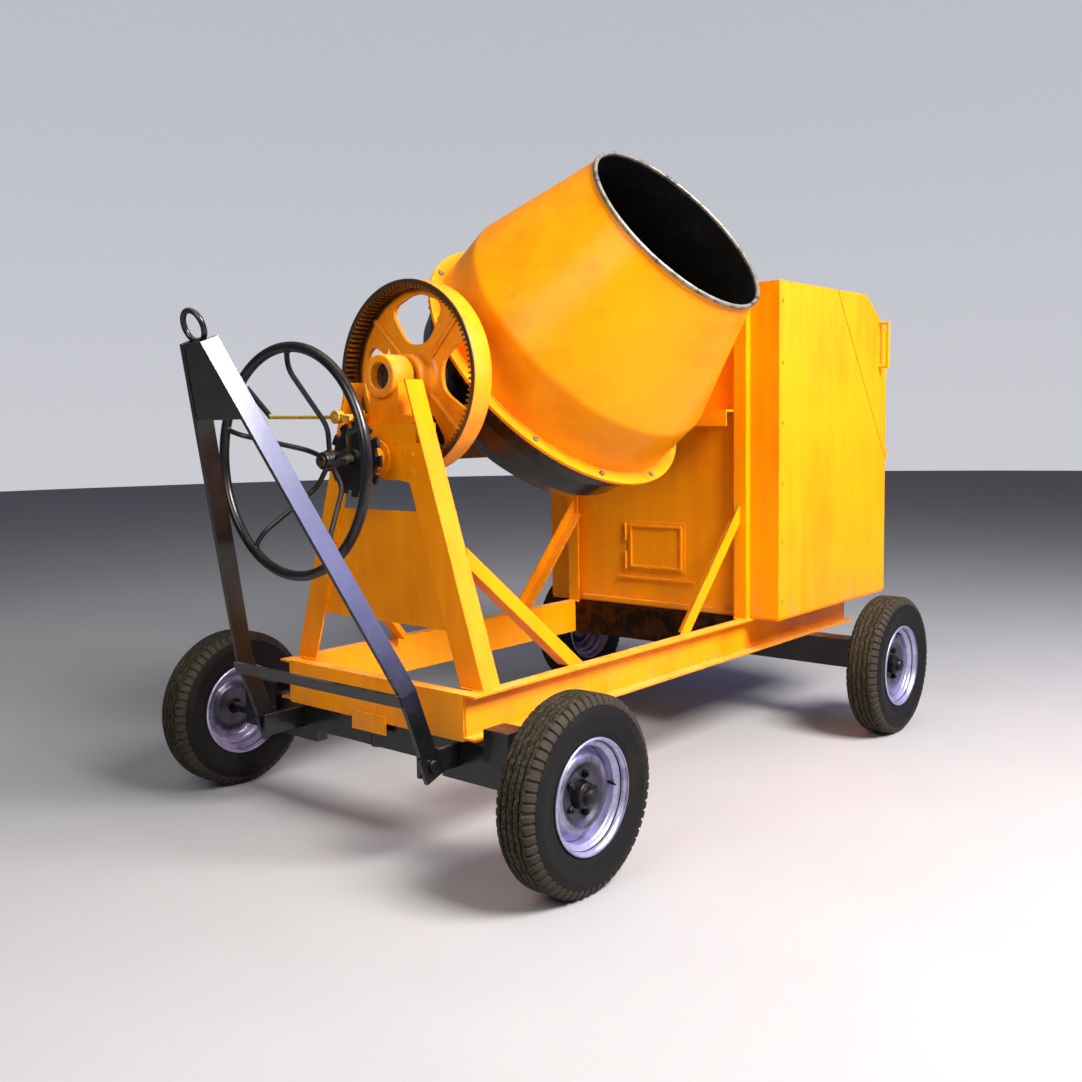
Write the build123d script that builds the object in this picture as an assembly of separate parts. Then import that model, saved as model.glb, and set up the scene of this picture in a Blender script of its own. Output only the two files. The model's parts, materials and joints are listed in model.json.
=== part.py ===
from build123d import *
import os
from math import atan2, cos, degrees, pi, radians, sin

# Tilting-drum concrete mixer on four wheels, millimetres.
# +X runs from the towing end to the engine end, +Z is up, and the drum is tipped towards -Y.
# The origin lies on the ground, under the middle of the machine's length and width.

# ---- driving dimensions ----
front_axle_x = -1070.1
wheelbase = 2296.0
track = 1762.0
tyre_radius = 310.0
tyre_width = 150.0
rim_radius = 176.0

rail_height = 150.0
rail_top = 560.0
rail_half_gauge = 460.0
rail_flange = 47.0
steel = 6.0
frame_overhang = 46.0
rear_overhang = 449.0

tilt_axis_z = 1605.0
tilt_angle = 51.4
drum_offset_x = 936.0
flange_radius = 611.0
belt_radius = 561.0
belt_height = 220.0
mouth_radius = 384.0
cone_height = 497.0
shell_wall = 6.0

leg_front = 21.0
leg_width = 105.0
leg_depth = 83.0
leg_foot_y = 485.0
leg_top_y = 154.3952

gear_teeth = 106
pinion_teeth = 11
gear_module = 6.0
gear_rim_radius = 342.0
gear_front = 162.0
gear_width = 91.0

handwheel_radius = 370.0
handwheel_tube = 17.0
handwheel_front = 350.0
handwheel_dish = 162.0

crown_teeth = 98
bevel_teeth = 14
crown_radius = 588.0

cabinet_before_axle = 558.0
cabinet_length = 1093.0
cabinet_half_width = 628.0
cabinet_bottom = 569.0
cabinet_above_tilt = 406.0
sheet = 4.0

tow_lean = 20.5
tow_pivot_forward = 170.0
tow_pivot_z = 350.0
tow_length = 1440.0
tow_half_width = 434.0
tow_bar_depth = 66.0
tow_bar_thick = 16.0
tow_ring_radius = 48.0
tow_ring_wire = 9.0
tow_ring_rise = 42.0

# ---- clearances ----
running = 0.1
seat = 0.3
seam = 2.0
gap = 4.0

# ---- derived places ----
rail_bottom = rail_top - rail_height
rear_axle_x = front_axle_x + wheelbase
frame_front = front_axle_x - frame_overhang
frame_rear = rear_axle_x + rear_overhang
web_inner = rail_half_gauge - steel
drum_x = front_axle_x + drum_offset_x
leg_x = front_axle_x + leg_front
gear_x = front_axle_x + gear_front
gear_back = gear_x + gear_width
pitch_radius = gear_teeth * gear_module / 2
pinion_radius = pinion_teeth * gear_module / 2
handwheel_z = tilt_axis_z - pitch_radius + pinion_radius
handwheel_x = front_axle_x - handwheel_front
cab_x = rear_axle_x - cabinet_before_axle
cab_rear = cab_x + cabinet_length
cabinet_top = tilt_axis_z + cabinet_above_tilt
post_x = cab_x - 38.0
bevel_radius = crown_radius * bevel_teeth / crown_teeth
flange_a = bevel_radius + 12.0
fold_a = flange_a + 12.0 + belt_height
mouth_a = fold_a + cone_height
yoke_gap = 27.0
yoke_arm = 45.0
yoke_top_a = -303.0
yoke_depth = 102.0
yoke_half = 75.0
arm_front = drum_x - flange_radius - yoke_gap - yoke_arm
arm_rear = drum_x + flange_radius + yoke_gap
on_drum_axis = Pos(drum_x, 0, tilt_axis_z) * Rot(tilt_angle, 0, 0)
on_tow_bar = Pos(front_axle_x - tow_pivot_forward, 0, tow_pivot_z) * Rot(0, -tow_lean, 0)


# ---- shape helpers ----
def block(x0, x1, y0, y1, z0, z1):
    middle = Pos((x0 + x1) / 2, (y0 + y1) / 2, (z0 + z1) / 2)
    return middle * Box(abs(x1 - x0), abs(y1 - y0), abs(z1 - z0))


def shaft_x(x0, x1, radius, y=0.0, z=0.0):
    return Pos((x0 + x1) / 2, y, z) * Rot(0, 90, 0) * Cylinder(radius, x1 - x0)


def shaft_y(y0, y1, radius, x=0.0, z=0.0):
    return Pos(x, (y0 + y1) / 2, z) * Rot(90, 0, 0) * Cylinder(radius, abs(y1 - y0))


def shaft_z(z0, z1, radius, x=0.0, y=0.0):
    return Pos(x, y, (z0 + z1) / 2) * Cylinder(radius, z1 - z0)


def rod(start, end, radius):
    line = Line(start, end)
    return sweep(Plane(origin=start, z_dir=line % 0) * Circle(radius), path=line)


def other_side(shape):
    return mirror(shape, about=Plane.XZ)


def polygon_x(points, x0, x1):
    """A plate cut to (y, z) points and as thick as from x0 to x1."""
    face = make_face(Polyline(*[(x0, y, z) for y, z in points], close=True))
    return extrude(face, amount=x1 - x0, dir=(1, 0, 0))


def polygon_y(points, y0, y1):
    """A plate cut to (x, z) points and as thick as from y0 to y1."""
    face = make_face(Polyline(*[(x, y0, z) for x, z in points], close=True))
    return extrude(face, amount=y1 - y0, dir=(0, 1, 0))


def turned(points):
    """A body of revolution about Z from (radius, z) points."""
    return revolve(make_face(Polyline(*[(r, 0, z) for r, z in points], close=True)), Axis.Z)


def tooth_ring(count, root, tip, root_width, tip_width, x0, x1, phase=0.0):
    """Straight teeth about the X axis, each sunk a little into its rim."""
    sink = 1.0 if root < tip else -1.0
    outline = [(root - sink, -root_width / 2), (root - sink, root_width / 2),
               (tip, tip_width / 2), (tip, -tip_width / 2)]
    face = make_face(Polyline(*[(x0, y, z) for y, z in outline], close=True))
    tooth = extrude(face, amount=x1 - x0, dir=(1, 0, 0))
    return [Rot(phase + 360 * i / count, 0, 0) * tooth for i in range(count)]


# ---- chassis ----
def side_rail():
    web = block(frame_front + steel, frame_rear, -rail_half_gauge, -web_inner, rail_bottom, rail_top)
    tip = rail_half_gauge + rail_flange
    top = block(frame_front, frame_rear, -tip, -web_inner, rail_top - 8, rail_top)
    bottom = block(frame_front, frame_rear, -tip, -web_inner, rail_bottom, rail_bottom + 8)
    return web + top + bottom


def channel_across(x0, x1, web_at_front=True):
    web_x = x0 if web_at_front else x1 - steel
    half = web_inner
    web = block(web_x, web_x + steel, -half, half, rail_bottom, rail_top)
    top = block(x0, x1, -half, half, rail_top - 8, rail_top)
    bottom = block(x0, x1, -half, half, rail_bottom, rail_bottom + 8)
    return web + top + bottom


turntable_top_z = rail_bottom - 8.0


def front_cross_member():
    beam = channel_across(frame_front, frame_front + 50)
    beam -= shaft_z(rail_bottom - 1, rail_bottom + 20, kingpin_radius + running, front_axle_x)
    tab = block(frame_front - 8, frame_front, -82, 92, rail_bottom - 48, rail_bottom + 18)
    return beam + tab


def turntable_top_plate():
    plate = block(frame_front, front_axle_x + 170, -web_inner, web_inner, turntable_top_z, rail_bottom)
    return plate - shaft_z(turntable_top_z - 1, rail_bottom + 1, kingpin_radius + running, front_axle_x)


def rear_cross_members():
    under_posts = channel_across(post_x, post_x + 50)
    over_axle = channel_across(rear_axle_x - 25, rear_axle_x + 25)
    at_end = channel_across(frame_rear - 50, frame_rear, web_at_front=False)
    return Compound([under_posts, over_axle, at_end])


# ---- front pedestal ----
leg_top = tilt_axis_z - 17.0
flange_top = tilt_axis_z - 233.0
leg_lean = (leg_foot_y - leg_top_y) / (leg_top - rail_top)
plate_steel = 8.0


def leg_outer(z):
    return leg_foot_y - leg_lean * (z - rail_top)


def pedestal_leg():
    side = [(-leg_outer(rail_top), rail_top), (-leg_outer(rail_top) + plate_steel, rail_top),
            (-leg_outer(leg_top) + plate_steel, leg_top), (-leg_outer(leg_top), leg_top)]
    front = [(-leg_outer(rail_top), rail_top), (-leg_outer(rail_top) + leg_width, rail_top),
             (-leg_outer(flange_top) + leg_width, flange_top), (-leg_outer(flange_top), flange_top)]
    wrap = polygon_x(side, leg_x, leg_x + leg_depth)
    return wrap + polygon_x(front, leg_x, leg_x + plate_steel)


panel_x = leg_x + plate_steel
beam_bottom = flange_top
bearing_base_z = tilt_axis_z - 165.0
handwheel_boss = 42.0
bolt_hole = 9.0
front_foot = 150.0
rear_foot = 165.0
bolt_inset = 22.0


def inside_legs(z):
    return leg_outer(z) - plate_steel - 3.0


def pedestal_top_beam():
    half = inside_legs(bearing_base_z)
    web = block(panel_x, panel_x + plate_steel, -half, half, beam_bottom, bearing_base_z)
    deck = block(panel_x, leg_x + leg_depth + 20, -half, half, bearing_base_z - 10, bearing_base_z)
    back = block(leg_x + leg_depth + 12, leg_x + leg_depth + 20, -half, half, beam_bottom, bearing_base_z)
    beam = web + deck + back
    for y in (bolt_inset - front_foot, front_foot - bolt_inset):
        beam -= shaft_z(bearing_base_z - 20, bearing_base_z + 1, bolt_hole,
                        front_barrel + barrel_length / 2, y)
    return beam


def pedestal_upper_plate():
    low, arch = handwheel_z - 74.0, handwheel_z - 104.0
    points = [(-inside_legs(beam_bottom), beam_bottom), (inside_legs(beam_bottom), beam_bottom),
              (inside_legs(arch), arch), (handwheel_boss + 60, low), (-handwheel_boss - 60, low),
              (-inside_legs(arch), arch)]
    plate = polygon_x(points, panel_x, panel_x + plate_steel)
    bore = shaft_x(panel_x - 1, panel_x + plate_steel + 1, handwheel_boss, 0, handwheel_z)
    return plate - bore


def pedestal_lower_panel():
    low, high = 745.0, 1140.0
    points = [(-inside_legs(low), low), (inside_legs(low), low),
              (inside_legs(high), high), (-inside_legs(high), high)]
    return polygon_x(points, panel_x, panel_x + sheet)


def angle_brace(start, end, size=50.0, wall=6.0):
    """An L-section bar from start to end with one leg upright and the other leg inwards."""
    way = Vector(*end) - Vector(*start)
    plane = Plane(origin=start, z_dir=way, x_dir=(0, 1, 0))
    upright = Pos(0, 0, way.length / 2) * Box(wall, size, way.length + 160)
    inward = Pos(size / 2, -size / 2 + wall / 2, way.length / 2) * Box(size, wall, way.length + 160)
    return plane * (upright + inward)


def front_brace():
    high = (leg_x + leg_depth, -leg_outer(985) + plate_steel / 2, 985)
    low = (front_axle_x + 540, -rail_half_gauge, rail_top)
    bar = angle_brace(high, low)
    space = block(leg_x + leg_depth, front_axle_x + 700, -600, 0, rail_top, 1300)
    return bar & space


def rear_brace():
    low = (post_x - 438, -rail_half_gauge, rail_top)
    high = (post_x, -rail_half_gauge, 1020)
    bar = angle_brace(low, high)
    space = block(post_x - 700, post_x, -600, 0, rail_top, 1300)
    return bar & space


# ---- trunnion bearings ----
trunnion_radius = 47.0
barrel_radius = 76.0
front_barrel = front_axle_x + 42.0
barrel_length = 100.0
hollow_radius = 60.0
rear_barrel_radius = 88.0
rear_beam_top = tilt_axis_z - 130.0
rear_block_x = post_x - 58.0
rear_block_length = 74.0


def plummer_block(x0, length, radius, bore, base_z, half_foot):
    middle = x0 + length / 2
    barrel = shaft_x(x0, x0 + length, radius, 0, tilt_axis_z)
    neck = block(middle - 30, middle + 30, -radius, radius, base_z, tilt_axis_z)
    foot = block(middle - 36, middle + 36, -half_foot, half_foot, base_z, base_z + 26)
    hole = shaft_x(x0 - 1, x0 + length + 1, bore + running, 0, tilt_axis_z)
    holes = [shaft_z(base_z - 1, base_z + 27, bolt_hole, middle, s * (half_foot - bolt_inset))
             for s in (-1, 1)]
    return barrel + neck + foot - hole - holes


def front_bearing_block():
    return plummer_block(front_barrel, barrel_length, barrel_radius, trunnion_radius,
                         bearing_base_z, front_foot)


def rear_bearing_block():
    return plummer_block(rear_block_x, rear_block_length, rear_barrel_radius, hollow_radius,
                         rear_beam_top, rear_foot)


def bearing_bolts():
    """Hexagon bolts that hold both trunnion bearings down."""
    bolts = []
    front_middle = front_barrel + barrel_length / 2
    rear_middle = rear_block_x + rear_block_length / 2
    places = ((front_middle, bearing_base_z, front_foot - bolt_inset),
              (rear_middle, rear_beam_top, rear_foot - bolt_inset))
    for x, base, y in places:
        for side in (-1, 1):
            head = Pos(x, side * y, base + 26) * extrude(RegularPolygon(15, 6), amount=12)
            bolts.append(head + shaft_z(base - 10, base + 26, bolt_hole - running, x, side * y))
    return Compound(bolts)


def handwheel_bearing():
    """Bushed tube through the upper plate, with a collar against it and two ribs under it."""
    start = front_axle_x - 55.0
    tube = shaft_x(start, panel_x + plate_steel + 22, handwheel_boss, 0, handwheel_z)
    collar = shaft_x(panel_x - 10, panel_x, handwheel_boss + 22, 0, handwheel_z)
    return tube + collar - shaft_x(start - 1, gear_x, handwheel_shaft_radius + running, 0, handwheel_z)


# ---- rear stand ----
post_top = cabinet_top - 26.0


def rear_stand():
    """Two posts on the rails and the beam between them that carries the rear bearing."""
    post = block(post_x, cab_x, -492, -432, rail_top, post_top)
    post -= block(post_x + steel, cab_x + 1, -486, -431, rail_top - 1, post_top + 1)
    beam = block(rear_block_x - 6, cab_x, -432, 432, rear_beam_top - 70, rear_beam_top)
    beam -= block(rear_block_x + 2, cab_x - 8, -500, 500, rear_beam_top - 71, rear_beam_top - 10)
    for y in (bolt_inset - rear_foot, rear_foot - bolt_inset):
        middle = rear_block_x + rear_block_length / 2
        beam -= shaft_z(rear_beam_top - 20, rear_beam_top + 1, bolt_hole, middle, y)
    return Compound([post, other_side(post), beam])


# ---- axles ----
spindle_radius = 20.0
kingpin_radius = 20.0
axle_end = 775.0
wheel_y = track / 2


def spindles():
    tip = wheel_y + 38.0
    return [shaft_y(s * axle_end, s * tip, spindle_radius, 0, tyre_radius) for s in (-1, 1)]


def rear_axle_beam():
    beam = block(-50, 50, -axle_end, axle_end, 280, rail_bottom)
    beam -= block(-42, 42, -axle_end + 12, axle_end - 12, 288, rail_bottom - 8)
    beam -= block(-10, 10, -40, 40, 270, 300)
    return Pos(rear_axle_x, 0, 0) * (beam + spindles())


wear_plate = 5.7


def front_axle_beam():
    top = turntable_top_z - wear_plate - seat
    beam = block(-25, 25, -axle_end, axle_end, 305, top)
    for side in (-1, 1):
        beam += block(-25, 25, side * 330, side * axle_end, 262, top)
        beam += block(-50, 50, side * 545, side * 650, top - 40, 462)
    beam -= block(-19, 19, -560, 560, 311, top - 6)
    beam -= block(-10, 10, -40, 40, 300, 320)
    beam += shaft_z(305, top, kingpin_radius + 16)
    beam -= shaft_z(300, top + 1, kingpin_radius)
    return Pos(front_axle_x, 0, 0) * (beam + spindles())


def turntable_pad():
    """Wear pad on the axle beam that the frame's plate turns on."""
    z1 = turntable_top_z - seat
    pad = block(front_axle_x - 25, front_axle_x + 25, -140, 140, z1 - wear_plate, z1)
    return pad - shaft_z(z1 - 10, z1 + 1, kingpin_radius, front_axle_x)


def kingpin():
    pin = shaft_z(300, rail_bottom + 42, kingpin_radius, front_axle_x)
    nut = Pos(front_axle_x, 0, rail_bottom + 8 + seat) * extrude(RegularPolygon(34, 6), amount=24)
    return pin + nut


# ---- towing bar ----
tow_pin_radius = 12.0
bend_s = 270.0
tow_top_half = 55.0
bracket_outer = tow_half_width - tow_bar_thick - gap


def tow_brackets():
    """Two plates from the axle beam forward to the towing-bar pins, with their pins."""
    pivot_x = front_axle_x - tow_pivot_forward
    plate = block(pivot_x - 36, front_axle_x - 25, -bracket_outer, -bracket_outer + 16, 312, 388)
    pin = shaft_y(-bracket_outer + 16, -tow_half_width - 14, tow_pin_radius, pivot_x, tow_pivot_z)
    head = shaft_y(-tow_half_width - 3, -tow_half_width - 14, 19, pivot_x, tow_pivot_z)
    arm = plate + pin + head
    return Compound([arm, other_side(arm)])


def tow_half(s):
    if s <= bend_s:
        return tow_half_width
    return tow_half_width - (tow_half_width - tow_top_half) * (s - bend_s) / (tow_length - bend_s)


def tow_leg():
    outline = []
    for s in (-46.0, bend_s, tow_length):
        outline.append((-tow_half(s), s))
    for s in (tow_length, bend_s, -46.0):
        outline.append((-tow_half(s) + tow_bar_thick, s))
    leg = polygon_x(outline, -tow_bar_depth / 2, tow_bar_depth / 2)
    eye = block(-42, 42, -tow_half_width, -tow_half_width + tow_bar_thick, -46, 46)
    hole = shaft_y(-tow_half_width - 1, -tow_half_width + tow_bar_thick + 1, tow_pin_radius + running)
    return on_tow_bar * (leg + eye - hole)


crossbar_s = 262.0
gusset_s = 1195.0


def tow_crossbar():
    half = tow_half_width
    x0 = -tow_bar_depth / 2 - 10
    flat = block(x0, x0 + 10, -half, half, crossbar_s - 21, crossbar_s + 21)
    return on_tow_bar * flat


def tow_gusset():
    inner = [(side * (tow_half(s) - tow_bar_thick - 0.5), s)
             for side, s in ((-1, gusset_s), (1, gusset_s), (1, tow_length), (-1, tow_length))]
    return on_tow_bar * polygon_x(inner, -30, -20)


def tow_ring():
    centre = Pos(0, 0, tow_length + tow_ring_rise) * Rot(0, 90, 0)
    half = tow_top_half - tow_bar_thick - 2
    shank = block(-9, 9, -half, half, tow_length - 60, tow_length - 8)
    shank -= centre * Cylinder(tow_ring_radius, 30)
    return on_tow_bar * (centre * Torus(tow_ring_radius, tow_ring_wire) + shank)


# ---- wheels, built about the Y axis with +Y outboard ----
hub_radius = 40.0
disc_y = 12.0
stud_circle = 62.0


def spun(points):
    """A body of revolution about Y from (radius, y) points."""
    return revolve(make_face(Polyline(*points, close=True)), Axis.Y)


def tyre():
    half = tyre_width / 2
    shoulder, bead = tyre_radius - 9, rim_radius - 4
    outer = [(bead, half - 16), (bead + 10, half - 8), (bead + 44, half - 1), (bead + 76, half),
             (shoulder - 22, half - 6), (shoulder, half - 17), (tyre_radius, half - 27)]
    inner = [(tyre_radius - 16, half - 34), (shoulder - 26, half - 17), (bead + 70, half - 11),
             (bead + 36, half - 12), (bead, half - 29)]
    points = outer + [(r, -y) for r, y in reversed(outer)] + [(r, -y) for r, y in inner]
    points += list(reversed(inner))
    body = spun(points)
    for y in (-34.0, -11.5, 11.5, 34.0):
        body -= spun([(tyre_radius - 7, y - 3.5), (tyre_radius + 5, y - 3.5),
                      (tyre_radius + 5, y + 3.5), (tyre_radius - 7, y + 3.5)])
    return body


def disc_wheel():
    half = tyre_width / 2 - 7
    bead, well, wall = rim_radius - 4, rim_radius - 24, 4.0
    outer = [(rim_radius, half), (rim_radius, half - 4), (bead, half - 9), (bead - 2, half - 24),
             (well, half - 34)]
    inner = [(r - wall, y) for r, y in outer]
    inner[0] = (rim_radius - wall, half)
    barrel = spun(outer + [(r, -y) for r, y in reversed(outer)]
                  + [(r, -y) for r, y in inner] + list(reversed(inner)))
    disc = spun([(hub_radius, disc_y), (100, disc_y), (118, disc_y + 14), (well - wall, disc_y - 8),
                 (well - wall, disc_y - 14), (118, disc_y + 8), (100, disc_y - 6), (hub_radius, disc_y - 6)])
    for i in range(5):
        disc -= Rot(0, 72 * i, 0) * shaft_y(disc_y - 20, disc_y + 20, 9.0, stud_circle)
    return barrel + disc


def hub():
    body = spun([(spindle_radius + running, -42), (34, -42), (hub_radius, -20), (82, -16),
                 (82, disc_y - 6), (hub_radius, disc_y - 6), (hub_radius, 38), (30, 44), (30, 66),
                 (0, 66), (0, 41), (spindle_radius + running, 41)])
    for i in range(5):
        stud = shaft_y(disc_y - 8, disc_y + 16, 8.7, stud_circle)
        nut = Pos(stud_circle, disc_y, 0) * Rot(-90, 0, 0) * extrude(RegularPolygon(13, 6), amount=12)
        body += Rot(0, 72 * i, 0) * (stud + nut)
    return body


def at_wheel(shape, x, side):
    turn = Rot(0, 0, 180) if side < 0 else Rot(0, 0, 0)
    return Pos(x, side * wheel_y, tyre_radius) * turn * shape


# ---- yoke, built in the drum frame: Z is the drum's own axis ----
def in_drum_frame(x):
    return x - drum_x


spindle_shaft = 35.0


def yoke_frame():
    x0, x1 = in_drum_frame(arm_front), in_drum_frame(arm_rear) + yoke_arm
    low = yoke_top_a - yoke_depth
    beam = block(x0, x1, -yoke_half, yoke_half, low, yoke_top_a)
    beam -= block(x0 + 10, x1 - 10, -yoke_half + 10, yoke_half - 10, low - 1, yoke_top_a - 12)
    beam += shaft_z(low, yoke_top_a, 66)
    for inner, outer in ((x0 + yoke_arm, x0), (x1 - yoke_arm, x1)):
        inward = 12 if outer < inner else -12
        arm = block(outer, inner, -yoke_half, yoke_half, yoke_top_a - 1, 0)
        arm -= block(outer, inner - inward, -yoke_half + 10, yoke_half - 10, yoke_top_a + 12, -40)
        boss = shaft_x(min(outer, inner), max(outer, inner), 84)
        beam += arm + boss
    beam -= shaft_z(low - 1, yoke_top_a + 1, spindle_shaft + running)
    beam -= shaft_x(x0 - 1, x0 + yoke_arm + 1, trunnion_radius)
    beam -= shaft_x(x1 - yoke_arm - 1, x1 + 1, hollow_radius)
    return on_drum_axis * beam


def front_trunnion():
    return shaft_x(front_barrel + 33, arm_front + yoke_arm, trunnion_radius, 0, tilt_axis_z)


shaft_radius = 28.0


def rear_trunnion():
    tube = shaft_x(arm_rear, post_x + 16, hollow_radius, 0, tilt_axis_z)
    return tube - shaft_x(arm_rear - 1, post_x + 17, shaft_radius + running, 0, tilt_axis_z)


def tilting_gear():
    """Internal ring gear with a four-window web and a long hub, about the tilt axis."""
    root = pitch_radius + 1.25 * gear_module
    back = arm_front
    rim = shaft_x(gear_x, back, gear_rim_radius) - shaft_x(gear_x - 1, back - 18, root)
    rim += shaft_x(gear_x + 6, back, 82)
    rim -= shaft_x(gear_x, back + 1, trunnion_radius)
    for i in range(4):
        ring = shaft_x(back - 20, back + 1, 286) - shaft_x(back - 21, back + 2, 134)
        slice_points = [(0, 0)] + [(400 * cos(radians(q)), 400 * sin(radians(q)))
                                   for q in (90 * i + 8, 90 * i + 38, 90 * i + 68)]
        rim -= ring & polygon_x(slice_points, back - 20, back + 1)
    pitch_width = pi * gear_module / 2
    teeth = tooth_ring(gear_teeth, root, pitch_radius - gear_module, pitch_width + 3.6,
                       pitch_width - 4.6, gear_x + 2, gear_x + 56, 180 / gear_teeth)
    tilt = Pos(0, 0, tilt_axis_z) * Rot(tilt_angle, 0, 0)
    tilt_phase = Rot(-tilt_angle - 90, 0, 0)
    return tilt * (rim + [tilt_phase * t for t in teeth])


def drum_spindle():
    low = yoke_top_a - yoke_depth
    shaft = shaft_z(low - 34, pan_floor, spindle_shaft)
    disc = shaft_z(yoke_top_a + seat, pan_floor, 105)
    nut = Pos(0, 0, low - 30) * extrude(RegularPolygon(56, 6), amount=28)
    return on_drum_axis * (shaft + disc + nut)


# ---- drum ----
pan_floor = -290.0
pan_wall = 8.0


def drum_pan():
    outer = [(545, flange_a), (540, 0), (516, -92), (478, -146), (400, -200), (300, -246),
             (190, -278), (110, pan_floor), (0, pan_floor)]
    inner = [(0, pan_floor + pan_wall), (110, pan_floor + pan_wall), (188, -270), (297, -238),
             (396, -192), (471, -140), (508, -89), (532, 1), (537, flange_a)]
    share = (belt_radius - 16) / 545
    return on_drum_axis * turned([(share * r, a) for r, a in outer + inner])


def drum_shell():
    base = flange_a + 12
    outer = [(belt_radius, base), (belt_radius, fold_a), (mouth_radius, mouth_a)]
    inner = [(r - shell_wall, a) for r, a in reversed(outer)]
    return on_drum_axis * turned(outer + inner)


def mouth_ring():
    lip = [(mouth_radius - 8, mouth_a), (mouth_radius + 8, mouth_a), (mouth_radius + 8, mouth_a + 16),
           (mouth_radius - 8, mouth_a + 16)]
    return on_drum_axis * turned(lip)


def crown_gear():
    """The flange around the drum's waist, with bevel teeth under its edge."""
    inner = belt_radius - 24
    flange = turned([(inner, flange_a), (flange_radius, flange_a), (flange_radius, flange_a + 12),
                     (inner, flange_a + 12)])
    outline = [(-9.0, flange_a + 1), (9.0, flange_a + 1), (4.6, flange_a - 19), (-4.6, flange_a - 19)]
    face = make_face(Polyline(*[(crown_radius - 23, y, z) for y, z in outline], close=True))
    tooth = extrude(face, amount=35, dir=(1, 0, 0))
    step = 360 / crown_teeth
    teeth = [Rot(0, 0, step * (i + 0.5)) * tooth for i in range(crown_teeth)]
    return on_drum_axis * (flange + teeth)


def flange_bolts():
    bolts = []
    for i in range(12):
        spot = Pos(crown_radius - 2, 0, flange_a + 12)
        bolts.append(Rot(0, 0, 30 * i + 11) * spot * extrude(RegularPolygon(11, 6), amount=10))
    return on_drum_axis * Compound(bolts)


def mixing_blades():
    """Three paddles that stand on the cone and the belt inside the drum."""
    blades = []
    inner_wall = belt_radius - shell_wall - seat
    reach, turn, middle = 190.0, 35.0, fold_a - 105.0
    for i in range(3):
        paddle = Pos(inner_wall - 110, 0, middle) * Rot(0, 0, turn) * Box(reach, 10, reach)
        foot_y = reach / 2 * sin(radians(turn))
        stay = Pos(inner_wall - 24, foot_y, middle) * Box(48, 40, 120)
        keep = turned([(0, flange_a + 20), (inner_wall, flange_a + 20), (inner_wall, fold_a), (0, fold_a)])
        blades.append(Rot(0, 0, 120 * i + 20) * ((paddle + stay) & keep))
    return on_drum_axis * Compound(blades)


# ---- drive ----
pulley_radius = 300.0
engine_pulley_radius = 50.0
pulley_x = cab_x + 62.0
pulley_width = 90.0
crank_z = 1000.0


def drive_shaft():
    return shaft_x(drum_x + crown_radius - 26, pulley_x + pulley_width + 12, shaft_radius, 0, tilt_axis_z)


def bevel_pinion():
    x0, x1 = drum_x + crown_radius - 23, drum_x + crown_radius + 12
    root, tip = bevel_radius - 12, bevel_radius + 7
    body = shaft_x(x0, x1, root) + shaft_x(x0, x1 + 14, 52)
    for tooth in tooth_ring(bevel_teeth, root, tip, 18.0, 9.4, x0, x1):
        body += tooth
    body -= shaft_x(x0 - 1, x1 + 15, shaft_radius)
    return Pos(0, 0, tilt_axis_z) * Rot(tilt_angle + 90, 0, 0) * body


def grooved_pulley(x0, width, radius, bore, z, windows=0):
    body = shaft_x(x0, x0 + width, radius)
    for i in range(3):
        middle = x0 + width * (i + 0.5) / 3
        ring = shaft_x(middle - 9, middle + 9, radius + 1) - shaft_x(middle - 10, middle + 10, radius - 14)
        body -= ring
    if windows:
        for x in (x0, x0 + width - 34):
            body -= shaft_x(x, x + 34, radius - 34) - shaft_x(x, x + 34, bore + 34)
    for i in range(windows):
        body -= Rot(360 * i / windows, 0, 0) * shaft_x(x0 - 1, x0 + width + 1, 62, radius * 0.55)
    return Pos(0, 0, z) * (body - shaft_x(x0 - 1, x0 + width + 1, bore))


def drum_pulley():
    return grooved_pulley(pulley_x, pulley_width, pulley_radius, shaft_radius, tilt_axis_z, 5)


flywheel_radius = 280.0
crank_radius = 24.0


def engine_flywheel():
    """Crankshaft end with its belt pulley and cast flywheel."""
    crank = shaft_x(pulley_x - 12, engine_x + 40, crank_radius, 0, crank_z)
    pulley = grooved_pulley(pulley_x, pulley_width, engine_pulley_radius + 14, crank_radius, crank_z)
    wheel_x = pulley_x + pulley_width + 30
    wheel = shaft_x(wheel_x, wheel_x + 56, flywheel_radius, 0, crank_z)
    wheel -= shaft_x(wheel_x, wheel_x + 18, flywheel_radius - 50, 0, crank_z)
    wheel += shaft_x(wheel_x, wheel_x + 56, 60, 0, crank_z)
    wheel -= shaft_x(wheel_x - 1, wheel_x + 57, crank_radius, 0, crank_z)
    return Compound([crank, pulley, wheel])


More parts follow.
